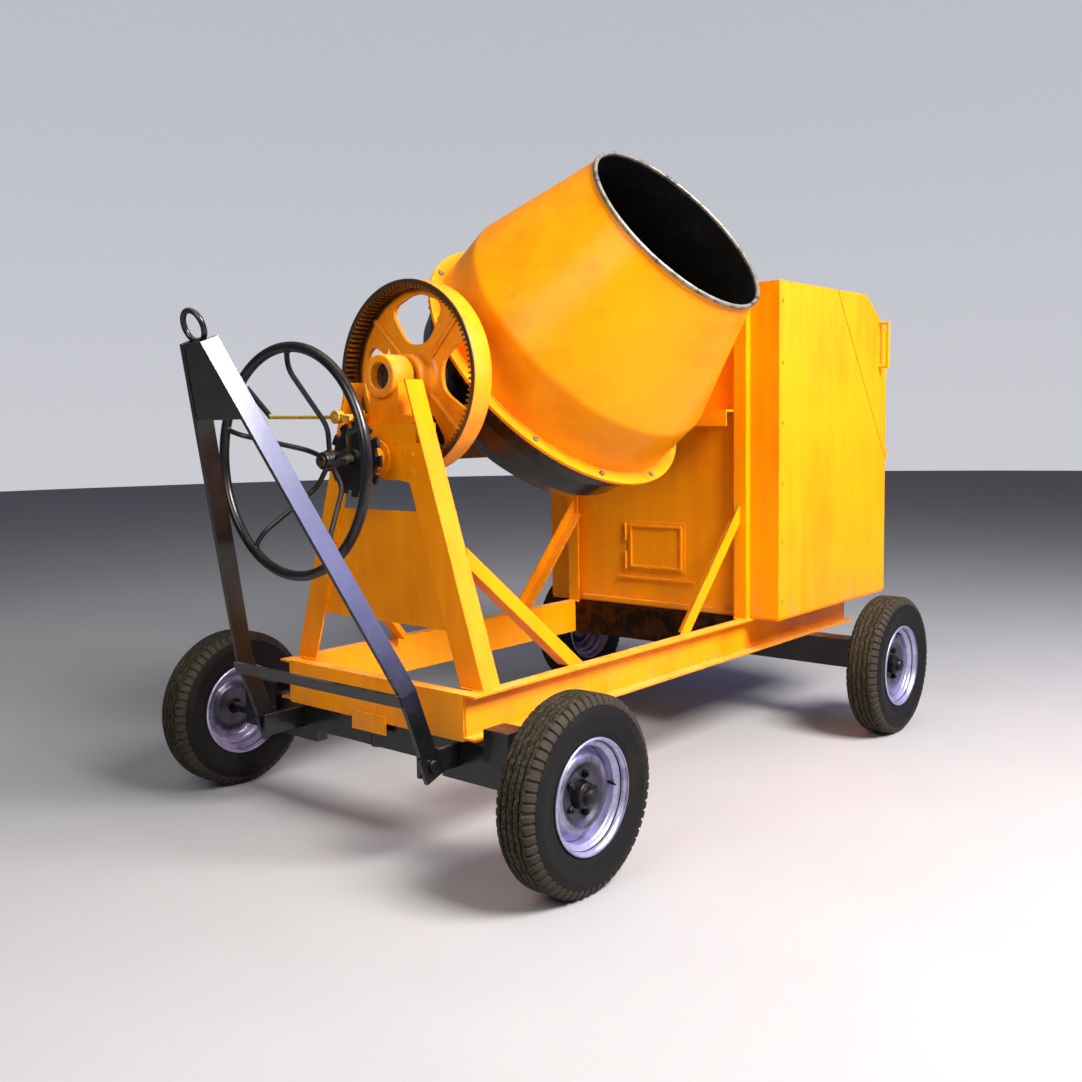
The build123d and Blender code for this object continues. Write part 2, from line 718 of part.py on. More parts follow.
def drive_belts():
    """Three V-belts around the two pulleys, each just clear of its grooves."""
    belts = []
    span = tilt_axis_z - crank_z
    for i in range(3):
        middle = pulley_x + pulley_width * (i + 0.5) / 3
        big, small = pulley_radius - 6, engine_pulley_radius + 8
        lean = degrees(atan2(big - small, (span ** 2 - (big - small) ** 2) ** 0.5))
        q = radians(lean)
        side = [(s * small * cos(q), crank_z - small * sin(q)) for s in (1, -1)]
        top = [(s * big * cos(q), tilt_axis_z - big * sin(q)) for s in (-1, 1)]
        outer = polygon_x(side + top, middle - 6, middle + 6)
        outer += shaft_x(middle - 6, middle + 6, big, 0, tilt_axis_z)
        outer += shaft_x(middle - 6, middle + 6, small, 0, crank_z)
        thick = 7.0
        side = [(s * (small - thick) * cos(q), crank_z - (small - thick) * sin(q)) for s in (1, -1)]
        top = [(s * (big - thick) * cos(q), tilt_axis_z - (big - thick) * sin(q)) for s in (-1, 1)]
        inner = polygon_x(side + top, middle - 7, middle + 7)
        inner += shaft_x(middle - 7, middle + 7, big - thick, 0, tilt_axis_z)
        inner += shaft_x(middle - 7, middle + 7, small - thick, 0, crank_z)
        belts.append(outer - inner)
    return Compound(belts)


# ---- engine ----
engine_x = pulley_x + pulley_width + 116.0
bed_top = 640.0
engine_half = 165.0


def engine_bed():
    bed = []
    for side in (-1, 1):
        y = side * 150
        rail = block(cab_x + 40, cab_rear - 140, y - 32, y + 32, rail_top, bed_top)
        rail -= block(cab_x + 39, cab_rear - 139, y - 26, y + 40, rail_top + 8, bed_top - 8)
        bed.append(rail)
    return Compound(bed)


def engine_block():
    x0, x1 = engine_x, engine_x + 400
    middle = (x0 + x1) / 2
    case = block(x0, x1, -engine_half, engine_half, bed_top, crank_z + 90)
    case = fillet(case.edges().filter_by(Axis.Z), 30)
    case -= block(x0 + 22, x1 - 22, 22 - engine_half, engine_half - 22, bed_top - 1, crank_z + 66)
    case += shaft_z(crank_z + 80, crank_z + 400, 92, middle)
    for i in range(9):
        case += shaft_z(crank_z + 120 + 28 * i, crank_z + 130 + 28 * i, 118, middle)
    case += block(middle - 120, middle + 120, -110, 110, crank_z + 380, crank_z + 430)
    case -= shaft_x(x0 - 1, x0 + 60, crank_radius + running, 0, crank_z)
    return case


def fuel_tank():
    middle = engine_x + 200
    z0 = crank_z + 430
    stand = block(middle - 40, middle + 40, -60, 60, z0, z0 + 40)
    tank = block(middle - 150, middle + 150, -170, 170, z0 + 40, z0 + 190)
    tank = fillet(tank.edges().filter_by(Axis.Y), 40)
    hollow = block(middle - 147, middle + 147, -167, 167, z0 + 43, z0 + 187)
    hollow = fillet(hollow.edges().filter_by(Axis.Y), 37)
    cap = shaft_z(z0 + 188, z0 + 212, 32, middle + 60, 80)
    vent = shaft_z(z0 + 180, z0 + 213, 3, middle + 60, 80)
    return tank - hollow + stand + cap - vent


# ---- cabinet ----
hood_front = cab_x + 554.0
hood_low = 1226.0
hood_slope_x = cab_x + 853.0
hood_slope_z = cabinet_top - 155.0
side_lap = rail_half_gauge - 20.0
door_half = 160.0
door_low, door_high = 730.0, 965.0


def cabinet_front_panel():
    width = cabinet_half_width
    panel = block(cab_x, cab_x + sheet, -width, width, cabinet_bottom, cabinet_top - sheet)
    panel -= block(cab_x - 1, cab_x + 5, -door_half + 22, door_half - 22, door_low + 22, door_high - 22)
    panel -= shaft_x(cab_x - 1, cab_x + 5, shaft_radius + 32, 0, tilt_axis_z)
    sill = block(cab_x - 14, cab_x, -425, 425, cabinet_bottom, cabinet_bottom + 24)
    ledge = block(cab_x - 9, cab_x, -214, 214, 692, 702)
    foot = block(cab_x + sheet, cab_x + 40, -side_lap + 1, side_lap - 1, rail_top, cabinet_bottom + 6)
    return panel + sill + ledge + foot


def cabinet_side():
    y1 = -cabinet_half_width + sheet
    points = [(cab_x + sheet, cabinet_bottom), (cab_rear - sheet, cabinet_bottom),
              (cab_rear - sheet, hood_low - seam), (hood_front - seam, cabinet_top - sheet),
              (cab_x + sheet, cabinet_top - sheet)]
    side = polygon_y(points, -cabinet_half_width, y1)
    rail = block(cab_x + sheet, cab_rear - sheet, y1, -side_lap, rail_top, cabinet_bottom)
    lap = block(cab_x + sheet, cab_rear - sheet, y1, y1 + 30, cabinet_bottom, cabinet_bottom + 4)
    return side + rail + lap


def cabinet_roof():
    width = cabinet_half_width
    return block(cab_x, hood_front - seam, -width, width, cabinet_top - sheet, cabinet_top)


def cabinet_rear_panel():
    width = cabinet_half_width
    return block(cab_rear - sheet, cab_rear, -width, width, cabinet_bottom, hood_low - seam)


def cabinet_fixings():
    """Round-head screws along the front edge of each side panel."""
    heads = []
    lowest, highest = cabinet_bottom + 79.0, cabinet_top - 82.0
    for i in range(6):
        z = lowest + i * (highest - lowest) / 5
        head = shaft_y(-cabinet_half_width - 4, -cabinet_half_width, 8, cab_x + 36, z)
        heads += [head, other_side(head)]
    return heads


def inspection_door():
    x1 = cab_x - seat
    plate = block(x1 - sheet, x1, -door_half, door_half, door_low, door_high)
    rib = block(x1 - sheet - 6, x1 - sheet, -door_half + 16, door_half - 16, door_low + 16, door_high - 16)
    rib -= block(x1 - sheet - 7, x1, -door_half + 26, door_half - 26, door_low + 26, door_high - 26)
    door = plate + rib
    for z in (door_low + 30, door_high - 70):
        door += shaft_z(z, z + 40, 6, door_pin_x, door_pin_y)
        door += block(door_pin_x - 2, door_pin_x + 2, door_half - 1, door_pin_y, z, z + 40)
    return door


door_pin_x = cab_x - 6.5
door_pin_y = door_half + 9.0
hood_pin_z = cabinet_top + 9.0


def cabinet_hinges():
    """Fixed knuckles of the door and hood hinges, screwed to the cabinet."""
    hinges = []
    for z in (door_low + 30, door_high - 70):
        for z0 in (z - 20.5, z + 40.5):
            knuckle = shaft_z(z0, z0 + 20, 6, door_pin_x, door_pin_y)
            leaf = block(cab_x - 4, cab_x, door_pin_y, door_pin_y + 26, z0, z0 + 20)
            link = block(door_pin_x - 2, cab_x, door_pin_y - 2, door_pin_y + 2, z0, z0 + 20)
            hinges.append(knuckle + leaf + link)
    for y in (-380.0, 380.0):
        for y0 in (y - 40.5, y + 20.5):
            knuckle = shaft_y(y0, y0 + 20, 8, hood_front - seam, hood_pin_z)
            leaf = block(hood_front - 42, hood_front - seam, y0, y0 + 20, cabinet_top, cabinet_top + 3)
            hinges.append(knuckle + leaf)
    return hinges


def engine_hood():
    half = cabinet_half_width
    outline = [(hood_front, cabinet_top), (hood_slope_x, cabinet_top), (cab_rear, hood_slope_z),
               (cab_rear, hood_low)]
    inside = [(hood_front - 60, cabinet_top - sheet), (hood_slope_x - 1.5, cabinet_top - sheet),
              (cab_rear - sheet, hood_slope_z - 2.3), (cab_rear - sheet, hood_low - 120)]
    hood = polygon_y(outline, -half, half) - polygon_y(inside, -half + sheet, half - sheet)
    for y in (-380.0, 380.0):
        hood += shaft_y(y - 20, y + 20, 8, hood_front - seam, hood_pin_z)
        hood += block(hood_front - seam, hood_front + 40, y - 20, y + 20, cabinet_top - 1, cabinet_top + 3)
    return hood


def hood_handle():
    """Grab handle on the hood's near cheek and the catch lug at its lower corner."""
    x = cab_x + 1010.0
    y0, y1 = -cabinet_half_width, -cabinet_half_width - 44
    z0, z1 = 1668.0, 1892.0
    grip = rod((x, y1, z0), (x, y1, z1), 8)
    grip += rod((x, y0, z0 + 8), (x, y1, z0 + 8), 8) + rod((x, y0, z1 - 8), (x, y1, z1 - 8), 8)
    lug = block(cab_rear, cab_rear + 24, -cabinet_half_width, -cabinet_half_width + 12, 1216 + 14, 1270)
    return Compound([grip, lug])


# ---- handwheel ----
handwheel_shaft_radius = 20.0
hub_x = handwheel_x + handwheel_dish
spoke_radius = 8.0
lock_disc_radius = 130.0
lock_disc_x = front_axle_x - 80.0
pawl_angle = 77.6


def on_handwheel(shape):
    return Pos(0, 0, handwheel_z) * shape


def handwheel_rim():
    return on_handwheel(Pos(handwheel_x, 0, 0) * Rot(0, 90, 0) * Torus(handwheel_radius, handwheel_tube))


def handwheel_spokes():
    """Five bent bars from the rim back to the hub."""
    hub_body = shaft_x(hub_x - 34, hub_x + 34, 38)
    end = handwheel_radius - handwheel_tube + 1.0
    spokes = hub_body
    for i in range(5):
        path = Spline((handwheel_x, 0, end), (handwheel_x + 36, 0, end - 62),
                      (hub_x - 14, 0, 62), (hub_x, 0, 30))
        bar = sweep(Plane(origin=path @ 0, z_dir=path % 0) * Circle(spoke_radius), path=path)
        spokes += Rot(72 * i, 0, 0) * bar
    rim_space = Pos(handwheel_x, 0, 0) * Rot(0, 90, 0) * Torus(handwheel_radius, handwheel_tube)
    return on_handwheel(spokes - rim_space - shaft_x(hub_x - 40, hub_x + 40, handwheel_shaft_radius))


def handwheel_shaft():
    return shaft_x(hub_x - 44, gear_x + 50, handwheel_shaft_radius, 0, handwheel_z)


def tilting_pinion():
    x0, x1 = gear_x + 4, gear_x + 50
    root, tip = pinion_radius - 1.25 * gear_module, pinion_radius + gear_module
    width = pi * gear_module / 2
    body = shaft_x(x0, x1, root)
    for tooth in tooth_ring(pinion_teeth, root, tip, width + 0.8, width - 5.8, x0, x1):
        body += Rot(-90, 0, 0) * tooth
    return on_handwheel(body - shaft_x(x0 - 1, x1 + 1, handwheel_shaft_radius))


def locking_disc():
    """Notched disc on the handwheel shaft that the lever's pawl drops into."""
    disc = shaft_x(lock_disc_x, lock_disc_x + 12, lock_disc_radius)
    disc += shaft_x(lock_disc_x - 18, lock_disc_x + 20, 36)
    disc -= shaft_x(lock_disc_x - 30, lock_disc_x + 30, handwheel_shaft_radius)
    for i in range(12):
        notch = Pos(lock_disc_x + 6, lock_disc_radius - 4, 0) * Box(14, 34, 28)
        disc -= Rot(pawl_angle + 30 * i, 0, 0) * notch
    return on_handwheel(disc)


# ---- tilt lock ----
lever_y = 91.0
lever_z = tilt_axis_z - 139.0
lever_pin_radius = 10.0
lever_x = lock_disc_x + 6.0


def lever_bracket():
    """Plate on the pedestal's top beam with the pin that carries the lock lever."""
    plate = block(panel_x - 8, panel_x, lever_y - 26, lever_y + 26, beam_bottom + 6, lever_z + 22)
    return plate + shaft_x(lever_x - 16, panel_x, lever_pin_radius, lever_y, lever_z)


def lock_lever():
    hub_body = shaft_x(lever_x - 13, lever_x + 13, 23, lever_y, lever_z)
    bar = rod((lever_x, lever_y + 12, lever_z), (lever_x, 468, lever_z + 7), 7)
    clear = handwheel_z + lock_disc_radius + 3
    pawl = [(lever_y - 10, lever_z - 8), (lever_y - 10, lever_z + 12), (21, lever_z + 2),
            (19, clear), (30, clear), (34, clear + 8)]
    tooth = polygon_x(pawl, lever_x - 6, lever_x + 6)
    arm = hub_body + bar + tooth
    return arm - shaft_x(lever_x - 20, lever_x + 20, lever_pin_radius + running, lever_y, lever_z)


def lever_grip():
    return rod((lever_x, 469, lever_z + 8), (lever_x, 608, lever_z + 118), 10.5)


# ---- all parts ----
parts = {
    "side_rail_right": side_rail(),
    "side_rail_left": other_side(side_rail()),
    "front_cross_member": Compound([front_cross_member(), turntable_top_plate()]),
    "rear_cross_members": rear_cross_members(),
    "pedestal_leg_right": pedestal_leg(),
    "pedestal_leg_left": other_side(pedestal_leg()),
    "pedestal_top_beam": Compound([pedestal_top_beam(), lever_bracket()]),
    "pedestal_panels": Compound([pedestal_upper_plate(), pedestal_lower_panel()]),
    "frame_braces": Compound([front_brace(), other_side(front_brace()),
                              rear_brace(), other_side(rear_brace())]),
    "trunnion_bearings": Compound([front_bearing_block(), rear_bearing_block()]),
    "bearing_bolts": bearing_bolts(),
    "handwheel_bearing": handwheel_bearing(),
    "rear_stand": rear_stand(),
    "rear_axle_beam": rear_axle_beam(),
    "cabinet_front_panel": cabinet_front_panel(),
    "cabinet_side_right": cabinet_side(),
    "cabinet_side_left": other_side(cabinet_side()),
    "cabinet_roof": cabinet_roof(),
    "cabinet_rear_panel": cabinet_rear_panel(),
    "cabinet_fittings": Compound(cabinet_fixings() + cabinet_hinges()),
    "engine_bed": engine_bed(),
    "engine_block": Compound([engine_block(), fuel_tank()]),
    "drive_belts": drive_belts(),
    "inspection_door": inspection_door(),
    "engine_hood": engine_hood(),
    "hood_handle": hood_handle(),
    "engine_flywheel": engine_flywheel(),
    "front_axle_beam": front_axle_beam(),
    "kingpin": Compound([turntable_pad(), kingpin()]),
    "tow_brackets": tow_brackets(),
    "tow_leg_right": tow_leg(),
    "tow_leg_left": other_side(tow_leg()),
    "tow_cross_pieces": Compound([tow_crossbar(), tow_gusset()]),
    "tow_ring": tow_ring(),
    "yoke_frame": yoke_frame(),
    "yoke_trunnions": Compound([front_trunnion(), rear_trunnion()]),
    "tilting_gear": tilting_gear(),
    "drum_spindle": drum_spindle(),
    "drum_pan": drum_pan(),
    "drum_shell": drum_shell(),
    "mouth_ring": mouth_ring(),
    "crown_gear": crown_gear(),
    "flange_bolts": flange_bolts(),
    "mixing_blades": mixing_blades(),
    "drive_shaft": drive_shaft(),
    "bevel_pinion": bevel_pinion(),
    "drum_pulley": drum_pulley(),
    "handwheel_rim": handwheel_rim(),
    "handwheel_spokes": handwheel_spokes(),
    "handwheel_shaft": Compound([handwheel_shaft(), tilting_pinion()]),
    "locking_disc": locking_disc(),
    "lock_lever": Compound([lock_lever(), lever_grip()]),
}
for end_name, end_x in (("front", front_axle_x), ("rear", rear_axle_x)):
    for side_name, side_sign in (("right", -1), ("left", 1)):
        parts[f"{end_name}_{side_name}_tyre"] = at_wheel(tyre(), end_x, side_sign)
        wheel = Compound([disc_wheel(), hub()])
        parts[f"{end_name}_{side_name}_wheel"] = at_wheel(wheel, end_x, side_sign)

os.makedirs("parts", exist_ok=True)
for name, shape in parts.items():
    export_step(shape, f"parts/{name}.step")
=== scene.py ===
import bmesh
import bpy
import cmath
import json
from math import atan2, cos, pi, radians, sin
from mathutils import Matrix, Vector


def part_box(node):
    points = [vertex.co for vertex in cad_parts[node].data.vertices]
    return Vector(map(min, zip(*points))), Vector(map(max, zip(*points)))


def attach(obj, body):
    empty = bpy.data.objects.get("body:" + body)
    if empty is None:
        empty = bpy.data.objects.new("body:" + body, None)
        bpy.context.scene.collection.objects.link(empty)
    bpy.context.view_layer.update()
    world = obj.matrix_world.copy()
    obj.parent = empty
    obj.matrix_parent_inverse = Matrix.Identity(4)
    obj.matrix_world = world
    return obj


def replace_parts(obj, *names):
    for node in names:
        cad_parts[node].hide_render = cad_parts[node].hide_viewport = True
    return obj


# The looks of a towed tilting-drum concrete mixer, in metres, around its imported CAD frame.
# +X runs from the towing ring to the engine cabinet, +Z is up, and the drum leans to -Y.

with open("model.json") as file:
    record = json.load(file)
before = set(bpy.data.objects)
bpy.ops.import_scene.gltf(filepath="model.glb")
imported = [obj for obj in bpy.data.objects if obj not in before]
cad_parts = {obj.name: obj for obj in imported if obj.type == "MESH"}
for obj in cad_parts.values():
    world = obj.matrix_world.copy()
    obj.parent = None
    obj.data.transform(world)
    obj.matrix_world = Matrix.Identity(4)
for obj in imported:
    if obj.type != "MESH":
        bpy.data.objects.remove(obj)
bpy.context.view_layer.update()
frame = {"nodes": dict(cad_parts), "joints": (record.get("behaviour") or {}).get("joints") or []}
nodes = frame["nodes"]
joints = {joint["name"]: joint for joint in frame["joints"]}

# ---- places worked out from the frame ----
tilt_pivot = Vector(joints["drum_tilt"]["pos_m"])
drum_axis = Vector(joints["drum_spin"]["axis"]).normalized()
drum_lean = atan2(-drum_axis.y, drum_axis.z)
handwheel_centre = Vector(joints["handwheel_spin"]["pos_m"])
drum_frame = Matrix.Translation(tilt_pivot) @ Matrix.Rotation(drum_lean, 4, "X")
WHEELS = ("front_right", "front_left", "rear_right", "rear_left")


# ---- materials: wires and finishes ----
class Wire:
    """One output of a finish's nodes. Arithmetic on it adds Math nodes."""

    def __init__(self, finish, socket):
        self.finish = finish
        self.socket = socket

    def math(self, operation, *values):
        return self.finish.node("ShaderNodeMath", {"operation": operation}, dict(enumerate(values)))

    def __add__(self, other):
        return self.math("ADD", self, other)

    def __radd__(self, other):
        return self.math("ADD", other, self)

    def __sub__(self, other):
        return self.math("SUBTRACT", self, other)

    def __rsub__(self, other):
        return self.math("SUBTRACT", other, self)

    def __mul__(self, other):
        return self.math("MULTIPLY", self, other)

    def __rmul__(self, other):
        return self.math("MULTIPLY", other, self)

    def __pow__(self, other):
        return self.math("POWER", self, other)

    def __neg__(self):
        return self.math("MULTIPLY", self, -1.0)


class Finish:
    """A Principled material whose constants sit on its own sockets."""

    def __init__(self, name, **constants):
        self.material = bpy.data.materials.new(name)
        self.material.use_nodes = True
        self.tree = self.material.node_tree
        self.tree.nodes.clear()
        self.shader = self.tree.nodes.new("ShaderNodeBsdfPrincipled")
        output = self.tree.nodes.new("ShaderNodeOutputMaterial")
        self.tree.links.new(self.shader.outputs[0], output.inputs["Surface"])
        for socket, value in constants.items():
            self.shader.inputs[socket.replace("_", " ")].default_value = value
        self.place = self.node("ShaderNodeTexCoord", output="Object")
        self.x, self.y, self.z = self.parts(self.place)

    def node(self, kind, settings=None, sockets=None, output=0):
        """Any node: its settings are set first, then the values or wires of its sockets."""
        made = self.tree.nodes.new(kind)
        for key, value in (settings or {}).items():
            setattr(made, key, value)
        for key, value in (sockets or {}).items():
            if isinstance(value, Wire):
                self.tree.links.new(value.socket, made.inputs[key])
            else:
                made.inputs[key].default_value = value
        return Wire(self, made.outputs[output])

    def parts(self, vector):
        made = self.node("ShaderNodeSeparateXYZ", sockets={0: vector}).socket.node
        return [Wire(self, out) for out in made.outputs]

    def sized(self, sizes):
        """The place scaled by (x, y, z), so that a texture stretches."""
        return self.node("ShaderNodeVectorMath", {"operation": "MULTIPLY"}, {0: self.place, 1: sizes})

    def noise(self, scale, detail=3.0, roughness=0.5, place=None):
        return self.node("ShaderNodeTexNoise", sockets={
            "Vector": place or self.place, "Scale": scale, "Detail": detail, "Roughness": roughness})

    def above(self, value, low, high):
        """0 below low, 1 above high, smooth between them."""
        return self.node("ShaderNodeMapRange", {"interpolation_type": "SMOOTHSTEP"},
                         {"Value": value, "From Min": low, "From Max": high})

    def colour(self, mask, under, over):
        ends = {0: mask, 6: rgba(under), 7: rgba(over)}
        return self.node("ShaderNodeMix", {"data_type": "RGBA"}, ends, output=2)

    def worn_edges(self, radius=0.006):
        """1 on the sharp outer edges of a piece and 0 on its flats."""
        true = self.node("ShaderNodeNewGeometry", output="Normal")
        soft = self.node("ShaderNodeBevel", {"samples": 4}, {"Radius": radius})
        dot = self.node("ShaderNodeVectorMath", {"operation": "DOT_PRODUCT"}, {0: true, 1: soft},
                        output="Value")
        return self.above(1.0 - dot, 0.02, 0.16)

    def facing_up(self):
        normal = self.node("ShaderNodeNewGeometry", output="Normal")
        return self.parts(normal)[2]

    def finish(self, base, roughness, height=None, relief=0.001, rounded=0.0, metallic=None):
        self.feed("Base Color", rgba(base))
        self.feed("Roughness", roughness)
        if metallic is not None:
            self.feed("Metallic", metallic)
        normal = self.node("ShaderNodeBevel", {"samples": 4}, {"Radius": rounded}) if rounded else None
        if height is not None:
            sockets = {"Height": height, "Distance": relief, "Strength": 1.0}
            if normal:
                sockets["Normal"] = normal
            normal = self.node("ShaderNodeBump", sockets=sockets)
        if normal:
            self.feed("Normal", normal)
        return self.material

    def feed(self, socket, value):
        if isinstance(value, Wire):
            self.tree.links.new(value.socket, self.shader.inputs[socket])
        else:
            self.shader.inputs[socket].default_value = value


def rgba(colour):
    """A plain (r, g, b) as a socket colour; a wire stays as it is."""
    return colour if isinstance(colour, Wire) else (*colour[:3], 1.0)


YELLOW = (0.95, 0.315, 0.0005)
YELLOW_DEEP = (0.84, 0.235, 0.0005)
PRIMER = (0.16, 0.045, 0.012)
DUST = (0.34, 0.25, 0.15)
PALE_CREAM = (0.90, 0.50, 0.14)
GREASE = (0.010, 0.008, 0.006)
MORTAR = (0.42, 0.40, 0.36)
BLACK = (0.0035, 0.0035, 0.004)
BLACK_WORN = (0.010, 0.0095, 0.011)
# Lilac-grey of the painted sky reflection on the tow bar's right leg.
PAINTED_SKY_SHEEN = (0.078, 0.082, 0.20)
GREASE_FILM = (0.16, 0.045, 0.006)


def yellow_enamel(name, dust_top=0.62, chips=0.35, rounding=0.003):
    """Brushed machinery enamel: fades and streaks, chips at the edges, road dust low down."""
    f = Finish(name, Coat_Weight=0.05, Coat_Roughness=0.18, Specular_IOR_Level=0.16)
    fade = f.noise(1.7, 4.0, 0.6)
    streak = f.noise(1.0, 5.0, 0.65, f.sized((16.0, 16.0, 1.4)))
    base = f.colour(f.above(fade * 0.6 + streak * 0.4, 0.40, 0.66), YELLOW, YELLOW_DEEP)
    edge = f.worn_edges() * f.above(f.noise(26.0, 6.0, 0.7), 0.50, 0.62)
    spots = f.above(f.noise(55.0, 4.0, 0.6), 0.72, 0.76)
    rust = f.above(edge * chips * 3.0 + spots * 0.7, 0.30, 0.75)
    base = f.colour(rust, base, PRIMER)
    low = f.above(dust_top - f.z, 0.0, 0.45)
    patches = f.noise(9.0, 6.0, 0.7)
    # Up-facing faces turn a paler cream in patches.
    paler_on_top = f.above(f.facing_up(), 0.6, 0.95) * f.above(patches, 0.30, 0.62)
    base = f.colour(paler_on_top * 0.55, base, PALE_CREAM)
    dusty = low * 0.45 * f.above(patches, 0.42, 0.74)
    base = f.colour(dusty, base, DUST)
    roughness = 0.30 + 0.16 * streak + 0.30 * rust + 0.30 * dusty + 0.2 * paler_on_top
    height = f.noise(140.0, 2.0) * 0.22 + f.noise(7.0, 2.0) * 0.9 - rust * 0.5
    return f.finish(base, roughness, height, 0.0008, rounded=rounding)


def black_enamel(name, dust=0.5, wear=0.5):
    """Gloss black over steel, rubbed bright at the edges."""
    f = Finish(name, Coat_Weight=0.35, Coat_Roughness=0.10, Specular_IOR_Level=0.35)
    patches = f.noise(11.0, 6.0, 0.7)
    base = f.colour(f.above(patches, 0.45, 0.75), BLACK, BLACK_WORN)
    rubbed = f.worn_edges(0.004) * f.above(f.noise(34.0, 5.0, 0.7), 0.52, 0.66) * wear
    base = f.colour(rubbed, base, (0.26, 0.25, 0.27))
    paler_on_top = f.above(f.facing_up(), 0.2, 0.9) * f.above(patches, 0.35, 0.7) * dust * 0.5
    base = f.colour(paler_on_top, base, DUST)
    roughness = 0.20 + 0.22 * patches + 0.3 * paler_on_top
    height = f.noise(120.0, 2.0) * 0.2 + f.noise(9.0, 3.0) * 0.8
    return f.finish(base, roughness, height, 0.0007, rounded=0.0025, metallic=rubbed)


def sky_sheen_enamel(name, sheen_from, sheen_full_at):
    """Black enamel with a painted lilac-grey reflection of the sky on the right leg's outward faces,
    less towards the foot.
    """
    f = Finish(name, Coat_Weight=0.3, Coat_Roughness=0.12, Specular_IOR_Level=0.35)
    patches = f.noise(12.0, 6.0, 0.7)
    base = f.colour(f.above(patches, 0.45, 0.75), BLACK, BLACK_WORN)
    across = f.parts(f.node("ShaderNodeNewGeometry", output="Normal"))[1]
    sheen_streaks = f.noise(1.0, 5.0, 0.7, f.sized((60.0, 60.0, 7.0)))
    # Painted reflection: faces turned to -Y take the lilac-grey of the sky, streaked, fading out
    # downwards, on the right leg only.
    painted_sheen = f.above(-across, 0.70, 0.92) * f.above(f.z + 0.12 * patches, sheen_from, sheen_full_at)
    painted_sheen = painted_sheen * (0.62 + 0.5 * sheen_streaks) * (1.0 - f.above(f.y, -0.05, -0.01))
    base = f.colour(painted_sheen, base, PAINTED_SKY_SHEEN)
    rubbed = f.worn_edges(0.004) * f.above(f.noise(34.0, 5.0, 0.7), 0.52, 0.66) * 0.5
    base = f.colour(rubbed, base, (0.30, 0.29, 0.33))
    height = f.noise(120.0, 2.0) * 0.2 + f.noise(9.0, 3.0) * 0.8
    return f.finish(base, 0.24 + 0.2 * patches, height, 0.0007, rounded=0.0025, metallic=rubbed)


def along_drum(f):
    """A finish's place along the drum's own axis, from the tipping axis."""
    return f.y * drum_axis.y + f.z * drum_axis.z - tilt_pivot.dot(drum_axis)


def drum_enamel(name):
    """Drum paint: rolling marks, scrapes and a few mortar splashes towards the mouth."""
    f = Finish(name, Coat_Weight=0.06, Coat_Roughness=0.2, Specular_IOR_Level=0.16)
    fade = f.noise(1.9, 5.0, 0.6)
    band = f.noise(1.0, 4.0, 0.6, f.sized((2.0, 9.0, 9.0)))
    base = f.colour(f.above(fade * 0.65 + band * 0.35, 0.44, 0.66), YELLOW, YELLOW_DEEP)
    scrape = f.above(f.noise(3.0, 8.0, 0.75), 0.63, 0.70) * f.above(f.noise(60.0, 3.0), 0.50, 0.62)
    base = f.colour(scrape * 0.45, base, PRIMER)
    along = along_drum(f)
    splash = f.above(f.noise(34.0, 6.0, 0.7), 0.68, 0.72) * f.above(along, 0.45, 0.85)
    base = f.colour(splash * 0.35, base, MORTAR)
    # Painted shade: the paint darkens to orange-brown in patches towards the drum's base.
    low = f.above(0.17 - along, 0.0, 0.10) * f.above(f.noise(12.0, 6.0, 0.7), 0.40, 0.68)
    base = f.colour(low * 0.5, base, (0.30, 0.13, 0.02))
    roughness = 0.28 + 0.14 * fade + 0.2 * splash + 0.2 * low
    height = f.noise(130.0, 2.0) * 0.18 + f.noise(6.0, 3.0) * 1.1
    return f.finish(base, roughness, height, 0.0010)


def drum_lining(name):
    """Plate blackened by mixing, with a thin grey crust of mortar."""
    f = Finish(name, Specular_IOR_Level=0.3)
    crust = f.noise(9.0, 9.0, 0.75)
    fine = f.noise(70.0, 4.0, 0.7)
    plate = f.colour(f.above(crust * 0.7 + fine * 0.3, 0.50, 0.72), (0.0045, 0.004, 0.004),
                     (0.035, 0.031, 0.027))
    return f.finish(plate, 0.55 + 0.3 * crust, crust * 3.0 + fine, 0.0020)


def gear_enamel(name, tip, root):
    """Cast gear: yellow enamel with black grease over the teeth and blown across the web."""
    f = Finish(name, Coat_Weight=0.2, Coat_Roughness=0.2, Specular_IOR_Level=0.4)
    radius = (f.x * f.x + f.y * f.y) ** 0.5
    fade = f.noise(5.0, 5.0, 0.65)
    base = f.colour(f.above(fade, 0.40, 0.66), YELLOW, YELLOW_DEEP)
    blown = f.above(f.noise(20.0, 7.0, 0.75), 0.55, 0.72) * f.above(radius, 0.08, tip)
    base = f.colour(blown * 0.4, base, GREASE_FILM)
    inside = 1.0 - f.above(radius, root + 0.0010, root + 0.0016)
    smear = f.above(radius + 0.02 * fade, tip - 0.004, tip + 0.012) * inside * (0.70 + 0.4 * fade)
    lip = f.above(0.007 - f.z, 0.0, 0.004) * f.above(radius, root - 0.001, root)
    smear = f.node("ShaderNodeMath", {"operation": "MAXIMUM"}, {0: smear, 1: lip})
    base = f.colour(smear * 0.96, base, GREASE)
    chipped = f.worn_edges(0.004) * f.above(f.noise(30.0, 5.0, 0.7), 0.50, 0.64)
    base = f.colour(chipped * 0.8, base, (0.05, 0.025, 0.012))
    height = f.noise(45.0, 4.0) * 1.4 + f.noise(160.0, 2.0) * 0.3
    return f.finish(base, 0.30 + 0.2 * fade - 0.08 * smear, height, 0.0010, rounded=0.002)


